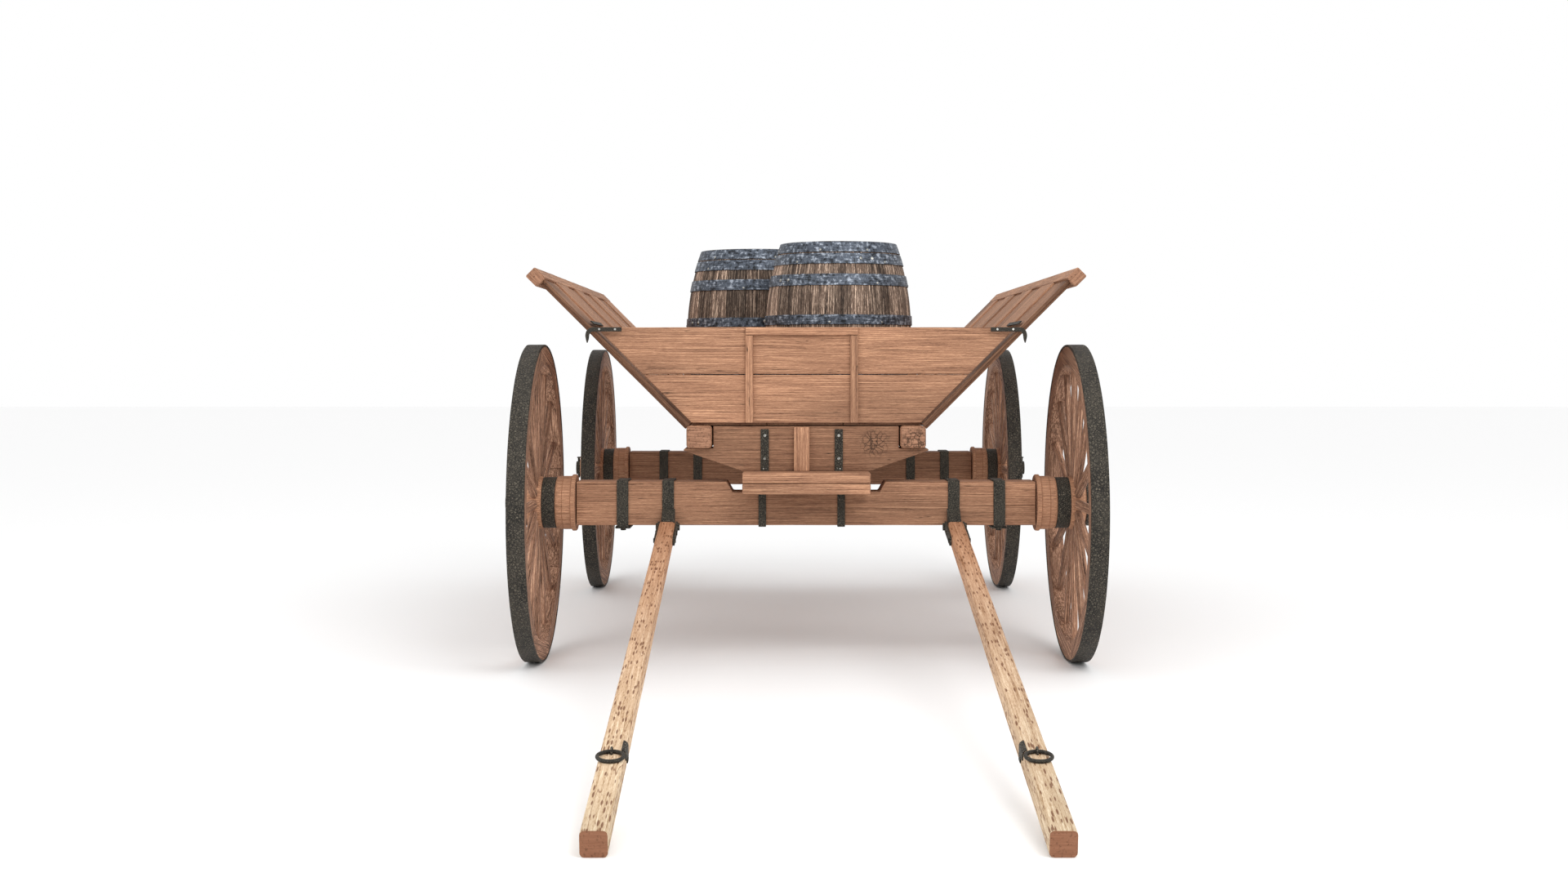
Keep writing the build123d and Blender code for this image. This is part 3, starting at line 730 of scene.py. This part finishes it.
def side_place(side, y, up, depth):
    """A place in a side: local X up the slope, Y along the wagon, Z outwards."""
    foot = Vector((side * (side_foot - side_inner), y, side_foot))
    upward = Vector((side * slope, 0, slope))
    outward = Vector((side * slope, 0, -slope))
    along = outward.cross(upward)
    turn = Matrix((upward, along, outward)).transposed().to_4x4()
    return Matrix.Translation(foot + upward * up + outward * depth) @ turn


up_length = (rail_high.z - side_foot - rail_slot * slope) / slope
bed_low, bed_high = planks_low.y - 0.0006, planks_high.y + 0.0006
for side, hand in ((-1, "left"), (1, "right")):
    boards = new_shape()
    for number, (start, stop) in enumerate(zip(plank_ends, plank_ends[1:])):
        y_low = bed_low + (bed_high - bed_low) * start
        y_high = bed_low + (bed_high - bed_low) * stop
        thick = plank_thick - (0.001 if number % 2 else 0.0075)
        place = side_place(side, (y_low + y_high) / 2, up_length / 2, plank_thick - thick / 2)
        plank(boards, (up_length, y_high - y_low - 0.0006, thick), place, wear=0.0025,
              tone=0.86 if number % 2 else 0.66)
    # the front and rear end faces of the side boards are toned almost black: painted shade for ends that fall in
    # shadow
    tone = boards.verts.layers.float["plank"]
    for v in boards.verts:
        if not bed_low + 0.0027 < v.co.y < bed_high - 0.0027:
            v[tone] = 0.1
    as_piece(boards, f"{hand}_side_boards", [cart_wood, cart_ends],
             [f"side_planks_{hand}"])

stakes = new_shape()
for side in (-1, 1):
    for share in (0.012, 0.2, 0.4, 0.6, 0.8, 0.988):
        y = bed_low + 0.04 + (bed_high - bed_low - 0.08) * share
        place = side_place(side, y, up_length / 2, plank_thick + stake_thick / 2)
        # the stakes are toned dark as painted shade for the shadowed outside of the side
        plank(stakes, (up_length, stake_width, stake_thick), place, wear=0.002, tone=0.3)
as_piece(stakes, "side_stake_set", [cart_wood, cart_ends], ["side_stakes"])

rails = new_shape()
for side in (-1, 1):
    middle_y = (rail_low.y + rail_high.y) / 2
    place = side_place(side, middle_y, up_length + rail_slot / 2, rail_thick / 2) @ TURN_Z
    plank(rails, (rail_high.y - rail_low.y, rail_width, rail_thick), place, wear=0.005, tone=0.84)
as_piece(rails, "top_rail_pair", [cart_wood, cart_ends], ["top_rails"])

# %% [markdown]
# Draught shafts
#
# Each shaft is one square ash pole that thickens a little towards its tip, with its corners
# rounded by use. It starts as a long bar: one end is drawn in, and the long corners are rounded.

# %% Shafts
pivots = {j["name"]: Vector(j["pos_m"]) for j in frame["joints"] if "pos_m" in j}
root_size, tip_size = 0.054, 0.06
tip_top_z = 0.0591
for hand in ("left", "right"):
    pivot = pivots[f"shaft_{hand}_lift"]
    low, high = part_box(f"shaft_{hand}_pole")
    top_root = Vector((pivot.x, pivot.y - 0.04, high.z))
    top_tip = Vector((pivot.x, low.y, tip_top_z))
    run = top_root - top_tip
    lean = math.atan2(run.z, run.y)
    pole = new_shape()
    length = run.length
    bmesh.ops.create_cube(pole, size=1.0, matrix=Matrix.Diagonal((length, 1, 1, 1)))
    for v in fresh(pole):
        size = root_size if v.co.x > 0 else tip_size
        v.co.y *= size
        v.co.z = (v.co.z - 0.5) * size
    long_edges = [e for e in edges_of(pole)
                  if abs(e.verts[0].co.x - e.verts[1].co.x) > length / 2]
    soften(pole, long_edges, 0.0105, segments=4)
    end_edges = [e for e in edges_of(pole)
                 if abs(e.verts[0].co.x) > length / 2 - 0.001
                 and abs(e.verts[1].co.x - e.verts[0].co.x) < 0.001]
    soften(pole, end_edges, 0.0015)
    cut_lengths(pole, -length / 2, length / 2, 0.1)
    waver(pole, 0.0006)
    place = (Matrix.Translation((top_root + top_tip) / 2)
             @ Matrix.Rotation(lean, 4, "X") @ TURN_Z)
    verts = fresh(pole)
    lay(pole, place)
    # the tone runs from root to tip: the ash's own change of colour, with painted shade towards the root and
    # painted light towards the tip
    tone = pole.verts.layers.float["plank"]
    for v in verts:
        v[tone] = 0.04 + 0.92 * (top_root.y - v.co.y) / (top_root.y - top_tip.y)
    as_piece(pole, f"{hand}_draught_shaft", [shaft_wood, shaft_ends],
             [f"shaft_{hand}_pole"])

# %% [markdown]
# Wheels
#
# A wheel is wood held together by iron. The nave is turned, so it is a profile spun round the
# axle. The sixteen spokes are shaved by hand, thick where they enter the nave and slim where
# they enter the rim, so each is a soft-cornered bar grown through a row of sections. Eight
# felloes make the rim, each sawn from its own plank, with a dark joint between neighbours. The
# tyre is one hoop of flat iron shrunk on hot.

# %% Turned and shaved shapes
def turned(shape, outline, steps, axis=(1, 0, 0)):
    """Spins a closed outline of (along, radius) points all the way round an axis."""
    along = Vector(axis)
    outward = along.orthogonal().normalized()
    corners = [shape.verts.new(along * a + outward * r) for a, r in outline]
    loop = [shape.edges.new(pair) for pair in zip(corners, corners[1:] + corners[:1])]
    bmesh.ops.spin(shape, geom=corners + loop, cent=(0, 0, 0), axis=along,
                   angle=math.tau, steps=steps, use_merge=True)
    bmesh.ops.recalc_face_normals(shape, faces=faces_of(shape))


def shaved_bar(shape, stations, sides=16, squareness=0.6):
    """A bar along X through (x, half width, half thickness) stations; squareness 1 is round."""
    ring = bmesh.ops.create_circle(shape, cap_ends=True, radius=1.0, segments=sides)["verts"]
    cap = ring[0].link_faces[0]
    for v in ring:
        across = math.copysign(abs(v.co.x) ** squareness, v.co.x)
        upward = math.copysign(abs(v.co.y) ** squareness, v.co.y)
        v.co = (0, across, upward)
    last_width, last_thickness = 1, 1
    for number, (x, half_width, half_thickness) in enumerate(stations):
        if number:
            grown = bmesh.ops.extrude_face_region(shape, geom=[cap])["geom"]
            ring = [v for v in grown if isinstance(v, bmesh.types.BMVert)]
            cap = next(f for f in grown if isinstance(f, bmesh.types.BMFace))
        for v in ring:
            v.co = (x, v.co.y * half_width / last_width, v.co.z * half_thickness / last_thickness)
        last_width, last_thickness = half_width, half_thickness
    bmesh.ops.recalc_face_normals(shape, faces=faces_of(shape))


# %% The parts of one wheel, with X along the axle and pointing outwards
NAVE = ((-0.140, 0.037), (-0.140, 0.095), (-0.137, 0.098), (-0.126, 0.098), (-0.122, 0.0925),
        (-0.096, 0.0925), (-0.0945, 0.0905), (-0.093, 0.0925), (-0.076, 0.0915),
        (-0.0705, 0.087), (-0.0695, 0.083), (-0.024, 0.083), (-0.023, 0.088), (-0.018, 0.0915),
        (0.000, 0.0925), (0.018, 0.0915), (0.025, 0.087), (0.031, 0.0755), (0.0655, 0.075),
        (0.066, 0.0715), (0.079, 0.0705), (0.085, 0.065), (0.085, 0.037))
NAVE_BOX = ((-0.140, 0.0308), (-0.140, 0.0368), (0.085, 0.0368), (0.085, 0.0308))
INNER_BAND = ((-0.0692, 0.0828), (-0.0692, 0.0872), (-0.0682, 0.088), (-0.047, 0.0882),
              (-0.0256, 0.088), (-0.0246, 0.0872), (-0.0246, 0.0828))
OUTER_BAND = ((0.0318, 0.0748), (0.0318, 0.0792), (0.0328, 0.080), (0.048, 0.0802),
              (0.0638, 0.080), (0.0648, 0.0792), (0.0648, 0.0748))
SPOKES, FELLOES = 16, 8
RIM_RADIUS = 0.542
SPOKE = ((0.080, 0.0140, 0.0115), (0.096, 0.0155, 0.0120), (0.125, 0.0170, 0.0120),
         (0.200, 0.0166, 0.0116), (0.300, 0.0155, 0.0110), (0.400, 0.0146, 0.0104),
         (0.482, 0.0140, 0.0100))
FELLOE = ((-0.028, 0.4822), (-0.0262, 0.4774), (-0.0215, 0.4754), (0.0215, 0.4754),
          (0.0262, 0.4774), (0.028, 0.4822), (0.028, 0.5418), (-0.028, 0.5418))
TYRE = ((-0.030, 0.5422), (-0.030, 0.5474), (-0.0286, 0.5494), (-0.0262, 0.5500),
        (-0.010, 0.5500), (0.010, 0.5500), (0.0262, 0.5500), (0.0286, 0.5494),
        (0.030, 0.5474), (0.030, 0.5422))


def spoke_place(hub, turn):
    """A spoke's place: local X points out from the axle, local Z lies along it."""
    rest = Matrix(((0, 0, 1), (1, 0, 0), (0, 1, 0))).to_4x4()
    return hub @ Matrix.Rotation(turn, 4, "X") @ rest


def felloe_place(hub, turn):
    """A felloe's place: local X is its chord, local Y lies along the axle."""
    rest = Matrix.Rotation(math.radians(-90), 4, "Z")
    return hub @ Matrix.Rotation(turn - math.radians(90), 4, "X") @ rest


def shape_felloe(shape):
    """One eighth of the rim, spun from its own cross-section."""
    half = math.pi / FELLOES - 0.0006 / RIM_RADIUS  # with an open joint of a millimetre
    start = Vector((-math.sin(half), 0, math.cos(half)))
    corners = [shape.verts.new((start.x * r, a, start.z * r)) for a, r in FELLOE]
    section = shape.faces.new(corners)
    bmesh.ops.spin(shape, geom=[section], cent=(0, 0, 0), axis=(0, 1, 0), angle=2 * half,
                   steps=12, use_duplicate=False)
    bmesh.ops.recalc_face_normals(shape, faces=faces_of(shape))
    sawn_ends = [face for face in faces_of(shape) if len(face.verts) == len(FELLOE)]
    end_edges = list({edge for face in sawn_ends for edge in face.edges})
    soften(shape, end_edges, 0.0012, segments=1)


# %% Four wheels
for end, y in (("front", front_y), ("rear", rear_y)):
    for hand, turn_out in (("left", math.pi), ("right", 0)):
        wheel = f"{end}_{hand}_wheel"
        low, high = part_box(wheel + "_tyre")
        hub = Matrix.Translation((low + high) / 2) @ Matrix.Rotation(turn_out, 4, "Y")

        nave = new_shape()
        turned(nave, NAVE, 64)
        waver(nave, 0.0005, size=0.03)
        lay(nave, hub, tone=0.8)
        as_piece(nave, wheel + "_turned_nave", [cart_wood, cart_ends],
                 [wheel + "_nave"])

        spokes = new_shape()
        for number in range(SPOKES):
            shaved_bar(spokes, SPOKE)
            waver(spokes, 0.0009)
            turn = math.tau * number / SPOKES
            lay(spokes, spoke_place(hub, turn), tone=luck.uniform(0.55, 0.8))
        as_piece(spokes, wheel + "_shaved_spokes", [wheel_wood, cart_ends],
                 [wheel + "_spokes"])

        rim = new_shape()
        for number in range(FELLOES):
            shape_felloe(rim)
            waver(rim, 0.0003)
            turn = math.pi / SPOKES + math.tau * number / FELLOES
            lay(rim, felloe_place(hub, turn), tone=luck.uniform(0.5, 0.74))
        as_piece(rim, wheel + "_sawn_felloes", [wheel_wood, cart_ends],
                 [wheel + "_felloes"])

        tyre = new_shape()
        turned(tyre, TYRE, 160)
        for v in fresh(tyre):
            radius = math.hypot(v.co.y, v.co.z)
            if radius > 0.545:
                dent = 0.5 + 0.5 * noise.noise(v.co * 19 + Vector((y, 0, turn_out)))
                v.co.yz = Vector((v.co.y, v.co.z)) * (1 - 0.0014 * dent / radius)
        lay(tyre, hub, tone=0.5, ends=False)
        as_piece(tyre, wheel + "_shrunk_tyre", [tyre_iron], [wheel + "_tyre"])

        irons = new_shape()
        for outline in (NAVE_BOX, INNER_BAND, OUTER_BAND):
            turned(irons, outline, 64)
            waver(irons, 0.0004, size=0.02)
            lay(irons, hub, tone=0.5, ends=False)
        as_piece(irons, wheel + "_nave_bands", [strap_iron],
                 [wheel + "_nave_irons"])

# %% [markdown]
# Casks
#
# A cooper bends straight staves into a bowed barrel. The same is done here: each stave is cut
# flat, with its grain along it, and then bent round the cask, so the pattern follows the wood.
# Old oak weathers unevenly, and neighbouring staves range from almost black to pale tan. Eight
# flat steel hoops hold the staves, each with a riveted lap.

# %% Coopering helpers
cask_height, cask_bilge, cask_head = 0.633, 0.270, 0.212
bow = cask_bilge - cask_head
arc_radius = ((cask_height / 2) ** 2 + bow ** 2) / (2 * bow)


def cask_radius(height):
    """The outside radius of the staves at a height above the cask's foot."""
    from_middle = height - cask_height / 2
    return cask_bilge - arc_radius + math.sqrt(arc_radius ** 2 - from_middle ** 2)


def rivet(shape, head, place, sides=12):
    """A round head grown through (height, radius) steps, in the piece's second material."""
    shaved_bar(shape, [(height, radius, radius) for height, radius in head], sides=sides,
               squareness=1)
    for face in faces_of(shape):
        face.material_index = 1
    verts = fresh(shape)
    lay(shape, place, tone=0.5, ends=False)
    return verts


def bend_round(verts, foot, turn, squeeze=None):
    """Bends flat work round a cask: X becomes height, Y goes round it and Z stands out."""
    for v in verts:
        height, across, out = v.co
        around = cask_radius(min(max(height, 0), cask_height))
        angle = turn + (squeeze(across, around) if squeeze else across / around)
        reach = around + out
        v.co = foot + Vector((reach * math.cos(angle), reach * math.sin(angle), height))


STAVES = 22
STAVE_THICK = 0.0165
HOOPS = ((0.001, 0.039), (0.043, 0.082), (0.119, 0.160), (0.266, 0.301))  # bottom and top edges
HEADING_BOARDS = ((-0.206, -0.124), (-0.123, -0.041), (-0.041, 0.041), (0.041, 0.123),
                  (0.123, 0.205))
HEADING_RADIUS, HEADING_THICK = 0.2055, 0.0145
NAIL = ((0, 0.0042), (0.0014, 0.0040), (0.0024, 0.0022))
LAP_RIVET = ((0, 0.0055), (0.0012, 0.0055), (0.0026, 0.0044), (0.0034, 0.0022))
stave_width = math.tau * cask_bilge / STAVES


def stave_angle(across, around):
    """Where a point across a stave falls, with 0.8 mm left open between neighbours."""
    return across / (stave_width / 2) * (math.pi / STAVES - 0.0004 / around)


# %% Two casks
for cask in ("cask_front", "cask_rear"):
    low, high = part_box(cask + "_staves")
    foot = Vector(((low.x + high.x) / 2, (low.y + high.y) / 2, low.z))
    barrel = new_shape()
    for number in range(STAVES):
        shade = 0.05 + 0.9 * luck.random() ** 1.8
        sunk = luck.uniform(0.0002, 0.0014)
        block = Matrix.Translation((cask_height / 2, 0, -STAVE_THICK / 2 - sunk))
        bmesh.ops.create_cube(barrel, size=1.0, matrix=block @ Matrix.Diagonal(
            (cask_height, stave_width, STAVE_THICK, 1)))
        soften(barrel, edges_of(barrel), 0.0016)
        cut_lengths(barrel, 0, cask_height, 0.024)
        cut_lengths(barrel, -stave_width / 2, stave_width / 2, 0.019, axis=(0, 1, 0))
        waver(barrel, 0.0008, size=0.2)
        verts = fresh(barrel)
        lay(barrel, Matrix.Identity(4), tone=shade)
        for v in verts:
            from_end = min(v.co.x, cask_height - v.co.x)
            if from_end < 0.014 and v.co.z < -0.008:
                v.co.z += 0.006 * (1 - from_end / 0.014)
        bend_round(verts, foot, math.tau * (number + 0.5) / STAVES, stave_angle)
    as_piece(barrel, cask + "_bent_staves", [cask_oak, cask_ends],
             [cask + "_staves"])

    lids = new_shape()
    for z in (0.024 + 0.0075, 0.594 + 0.0075):
        for left, right in HEADING_BOARDS:
            bmesh.ops.create_cone(lids, cap_ends=True, segments=72, radius1=HEADING_RADIUS,
                                  radius2=HEADING_RADIUS, depth=HEADING_THICK)
            for edge_x, normal in ((left + 0.0006, -1), (right - 0.0006, 1)):
                bmesh.ops.bisect_plane(lids, geom=geometry_of(fresh(lids)),
                                       plane_co=(edge_x, 0, 0), plane_no=(normal, 0, 0),
                                       clear_outer=True)
                open_edges = [e for v in fresh(lids) for e in v.link_edges if e.is_boundary]
                bmesh.ops.holes_fill(lids, edges=list(set(open_edges)), sides=8)
            verts = fresh(lids)
            bmesh.ops.translate(lids, verts=verts, vec=(-(left + right) / 2, 0, 0))
            bmesh.ops.rotate(lids, verts=verts, cent=(0, 0, 0),
                             matrix=Matrix.Rotation(math.radians(90), 3, "Z"))
            place = (Matrix.Translation(foot + Vector(((left + right) / 2, 0, z)))
                     @ Matrix.Rotation(math.radians(-90), 4, "Z"))
            lay(lids, place)
    as_piece(lids, cask + "_headings", [cask_oak, cask_ends], [cask + "_heads"])

    hoops = new_shape()
    for bottom, top in HOOPS:
        for low_edge, high_edge in ((bottom, top), (cask_height - top, cask_height - bottom)):
            middle_z = (low_edge + high_edge) / 2
            outline = []
            for height, out in ((low_edge, 0.0004), (low_edge, 0.0026),
                                (low_edge + 0.0008, 0.0032), (middle_z, 0.0032),
                                (high_edge - 0.0008, 0.0032), (high_edge, 0.0026),
                                (high_edge, 0.0004), (middle_z, 0.0004)):
                outline.append((height, cask_radius(height) + out))
            turned(hoops, outline, 96, axis=(0, 0, 1))
            lay(hoops, Matrix.Translation(foot), tone=0.5, ends=False)

            for nail in range(5):
                stand = Matrix.Translation((low_edge + 0.008, 0, 0.0028)) @ TURN_Y
                verts = rivet(hoops, NAIL, stand, sides=10)
                bend_round(verts, foot, math.tau * (nail + luck.uniform(0, 0.7)) / 5)

            seam = luck.uniform(0, math.tau)
            lap = Matrix.Translation((middle_z, 0, 0.0036))
            bmesh.ops.create_cube(hoops, size=1.0, matrix=lap @ Matrix.Diagonal(
                (high_edge - low_edge - 0.001, 0.075, 0.0026, 1)))
            soften(hoops, edges_of(hoops), 0.0008, segments=1)
            cut_lengths(hoops, -0.0375, 0.0375, 0.0125, axis=(0, 1, 0))
            verts = fresh(hoops)
            lay(hoops, Matrix.Identity(4), tone=0.5, ends=False)
            bend_round(verts, foot, seam)
            for across in (-0.022, 0.022):
                stand = Matrix.Translation((middle_z, across, 0.0048)) @ TURN_Y
                bend_round(rivet(hoops, LAP_RIVET, stand), foot, seam)
    as_piece(hoops, cask + "_riveted_hoops", [hoop_steel, bolt_steel],
             [cask + "_hoops"])

# %% [markdown]
# Straps, bolts and corner irons
#
# The smith wrapped flat bars round the axle beams and let them cool there. A band is a rounded
# rectangle, inset to the thickness of the iron and drawn out to its width. Nuts are six-sided,
# bolt heads are low domes, and each corner iron ends in a claw drawn out to a point.

# %% Iron shapes
IRON = 0.005
SHAFT_SHIFT, FITTING_SHIFT = 0.017, -0.015  # the shafts and the inner fittings are off centre


def wrapped_band(shape, width, half_depth, low, high, place):
    """A flat band wrapped round a beam that lies along X, between two heights."""
    corners = [(-half_depth, low), (half_depth, low), (half_depth, high), (-half_depth, high)]
    verts = [shape.verts.new((-width / 2, y, z)) for y, z in corners]
    face = shape.faces.new(verts)
    bmesh.ops.bevel(shape, geom=verts, offset=0.006, segments=3, profile=0.5,
                    affect="VERTICES", material=-1)
    face = faces_of(shape)[0]
    bmesh.ops.inset_region(shape, faces=[face], thickness=IRON, use_boundary=True,
                           use_even_offset=True)
    bmesh.ops.delete(shape, geom=[face], context="FACES_ONLY")
    drawn_out(shape, faces_of(shape), (width, 0, 0))
    rims = [e for e in edges_of(shape)
            if abs(e.verts[0].co.x - e.verts[1].co.x) < 1e-6 and e.calc_face_angle(0) > 1.2]
    soften(shape, rims, 0.0011, segments=1)
    cut_lengths(shape, low, high, 0.02, axis=(0, 0, 1))
    for v in fresh(shape):
        v.co.x += 0.0007 * noise.noise(v.co * 31 + place.translation * 9)
    lay(shape, place, tone=0.5, ends=False)


def bolt_head(shape, radius, height, place, sides=12):
    """A low domed head, or a six-sided nut, that stands out along its place's X."""
    rounded = sides > 6
    top = ((0.8, 0.82), (1.0, 0.5)) if rounded else ((0.9, 1.0), (1.0, 0.86))
    stations = [(0, radius, radius), (0.45 * height, radius, radius)]
    stations += [(height * up, radius * share, radius * share) for up, share in top]
    shaved_bar(shape, stations, sides=sides, squareness=1)
    lay(shape, place, tone=0.5, ends=False)


FACING = {-1: Matrix.Rotation(math.radians(-90), 4, "Z"),  # local X out of a front face
          1: TURN_Z}  # and out of a rear face
DOWN = Matrix.Rotation(math.radians(90), 4, "Y")

# %% Straps of the axles and bolsters
outer_straps, inner_strap, bolster_strap = (0.649, 0.492), 0.136, 0.127  # from the middle
for end, y in (("front", front_y), ("rear", rear_y)):
    low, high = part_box(f"{end}_axle_beam")
    depth = (high.y - low.y) / 2
    straps = new_shape()
    for side in (-1, 1):
        for along in outer_straps:
            place = Matrix.Translation((side * along + SHAFT_SHIFT, y, 0))
            wrapped_band(straps, 0.040, depth + IRON, low.z - IRON, high.z + IRON, place)
        foot = side * outer_straps[0] + SHAFT_SHIFT
        plank(straps, (0.120, 0.052, 0.007), Matrix.Translation((foot, y, 0.4675)) @ TURN_Z,
              wear=0.0015, amount=0.0004, tone=0.5, step=0.02, ends=False)
        for nut in (-0.040, 0.040):
            bolt_head(straps, 0.0095, 0.008, Matrix.Translation((foot, y + nut, 0.465)) @ DOWN,
                      sides=6)
        inner = side * inner_strap + FITTING_SHIFT
        tall = notch_z - 0.001 - (low.z - IRON)
        for face in (-1, 1):
            place = Matrix.Translation((inner, y + face * (depth + IRON / 2),
                                        low.z - IRON + tall / 2)) @ TURN_Y
            plank(straps, (tall, IRON, 0.026), place, wear=0.0012, amount=0.0004, tone=0.5,
                  step=0.02, ends=False)
        plank(straps, (2 * depth, 0.026, IRON - 0.0005),
              Matrix.Translation((inner, y, low.z - IRON / 2)) @ TURN_Z, wear=0.0012,
              amount=0.0003, tone=0.5, step=0.02, ends=False)
    as_piece(straps, f"{end}_axle_bands", [strap_iron], [f"{end}_axle_straps"])

small_straps = new_shape()
heads = new_shape()
strap_low, strap_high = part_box("bolster_straps")
for end, face in (("front", -1), ("rear", 1)):
    low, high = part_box(f"{end}_bolster")
    outer_face = low.y if face < 0 else high.y
    for side in (-1, 1):
        x = FITTING_SHIFT + side * bolster_strap
        centre = (x, outer_face + face * IRON / 2, (strap_low.z + strap_high.z) / 2)
        plank(small_straps, (strap_high.z - strap_low.z, IRON, 0.028),
              Matrix.Translation(centre) @ TURN_Y, wear=0.0012, amount=0.0006, tone=0.5,
              step=0.012, ends=False)
        surface = outer_face + face * (IRON - 0.0004)
        for z in (0.707, 0.786):
            place = Matrix.Translation((x, surface, z)) @ FACING[face]
            bolt_head(heads, 0.0052, 0.0030, place)
        for nail in (-0.0045, 0.0045):
            place = Matrix.Translation((x + nail, surface, 0.672)) @ FACING[face]
            bolt_head(heads, 0.0028, 0.0022, place, sides=8)
as_piece(small_straps, "bolster_strap_bars", [strap_iron], ["bolster_straps"])
as_piece(heads, "strap_bolt_heads", [bolt_steel], ["strap_bolts"])

# %% [markdown]
# Corner irons
#
# A thin strap lies along the top of each end board. Its outer end is drawn out into a claw that
# hooks downwards, which two soft curves describe, and a leg of it runs back inside the side.

# %% Corner irons
def curve(start, pull, stop, count=6):
    """Points on a curve that leaves one point, leans towards a second and ends at a third."""
    points = []
    for step in range(count + 1):
        t = step / count
        points.append(tuple((1 - t) ** 2 * a + 2 * t * (1 - t) * b + t * t * c
                            for a, b, c in zip(start, pull, stop)))
    return points


CLAW = [(0.6325, 1.1578), *curve((0.732, 1.1578), (0.7565, 1.1545), (0.757, 1.128)),
        (0.7545, 1.114), (0.7515, 1.1042), (0.7490, 1.1042), (0.7450, 1.116),
        *curve((0.7435, 1.128), (0.7425, 1.1432), (0.728, 1.1432)), (0.6325, 1.1432)]
CLAW_RIVET = ((0, 0.0038), (0.0012, 0.0038), (0.0024, 0.0022))
claw_tip, claw_bend = 1.104, 1.135
board_top = 1.158
corner_set = new_shape()
for y, face in ((bed_low + 0.0006, -1), (bed_high - 0.0006, 1)):
    strap_y = y + face * 0.0035
    for side in (-1, 1):
        outline = [(side * x, z) for x, z in CLAW]
        if side < 0:
            outline.reverse()
        before = set(corner_set.verts)
        profile_timber(corner_set, outline, 0.006, Matrix.Translation((0, strap_y, 0)),
                       wear=0.0012, amount=0.0003, tone=0.5, step=0.02, ends=False)
        for v in set(corner_set.verts) - before:
            if v.co.z < claw_bend:
                slim = 0.45 + 0.55 * (v.co.z - claw_tip) / (claw_bend - claw_tip)
                v.co.y = strap_y + (v.co.y - strap_y) * slim
        for x in (0.709, 0.655):
            place = Matrix.Translation((side * x, strap_y + face * 0.0028, 1.1507)) @ FACING[face]
            rivet(corner_set, CLAW_RIVET, place)
        leg_up = (board_top - side_foot) / slope + 0.021
        place = side_place(side, y - face * 0.200, leg_up, -0.0025) @ TURN_Z
        plank(corner_set, (0.34, 0.016, 0.0045), place, wear=0.001, amount=0.0003, tone=0.5,
              step=0.03, ends=False)
as_piece(corner_set, "corner_iron_claws", [small_iron, bolt_steel],
         ["corner_irons"])

# %% [markdown]
# The pieces that need no second shape
#
# The axle arms, the shaft lugs, the irons of the shafts, the rings and the king pin are plain
# smith's work already. They keep their shape and are given their iron: the rings the fine black
# grain of small forgings, and the others the skin of the straps.

# %% Iron on the plain forgings
plain = [node for node, piece in frame["nodes"].items() if not piece.hide_render]
for node in plain:
    piece = frame["nodes"][node]
    piece.data.materials.clear()
    piece.data.materials.append(small_iron if node.endswith("ring") else strap_iron)
print(len(plain), "plain forgings:", ", ".join(plain))
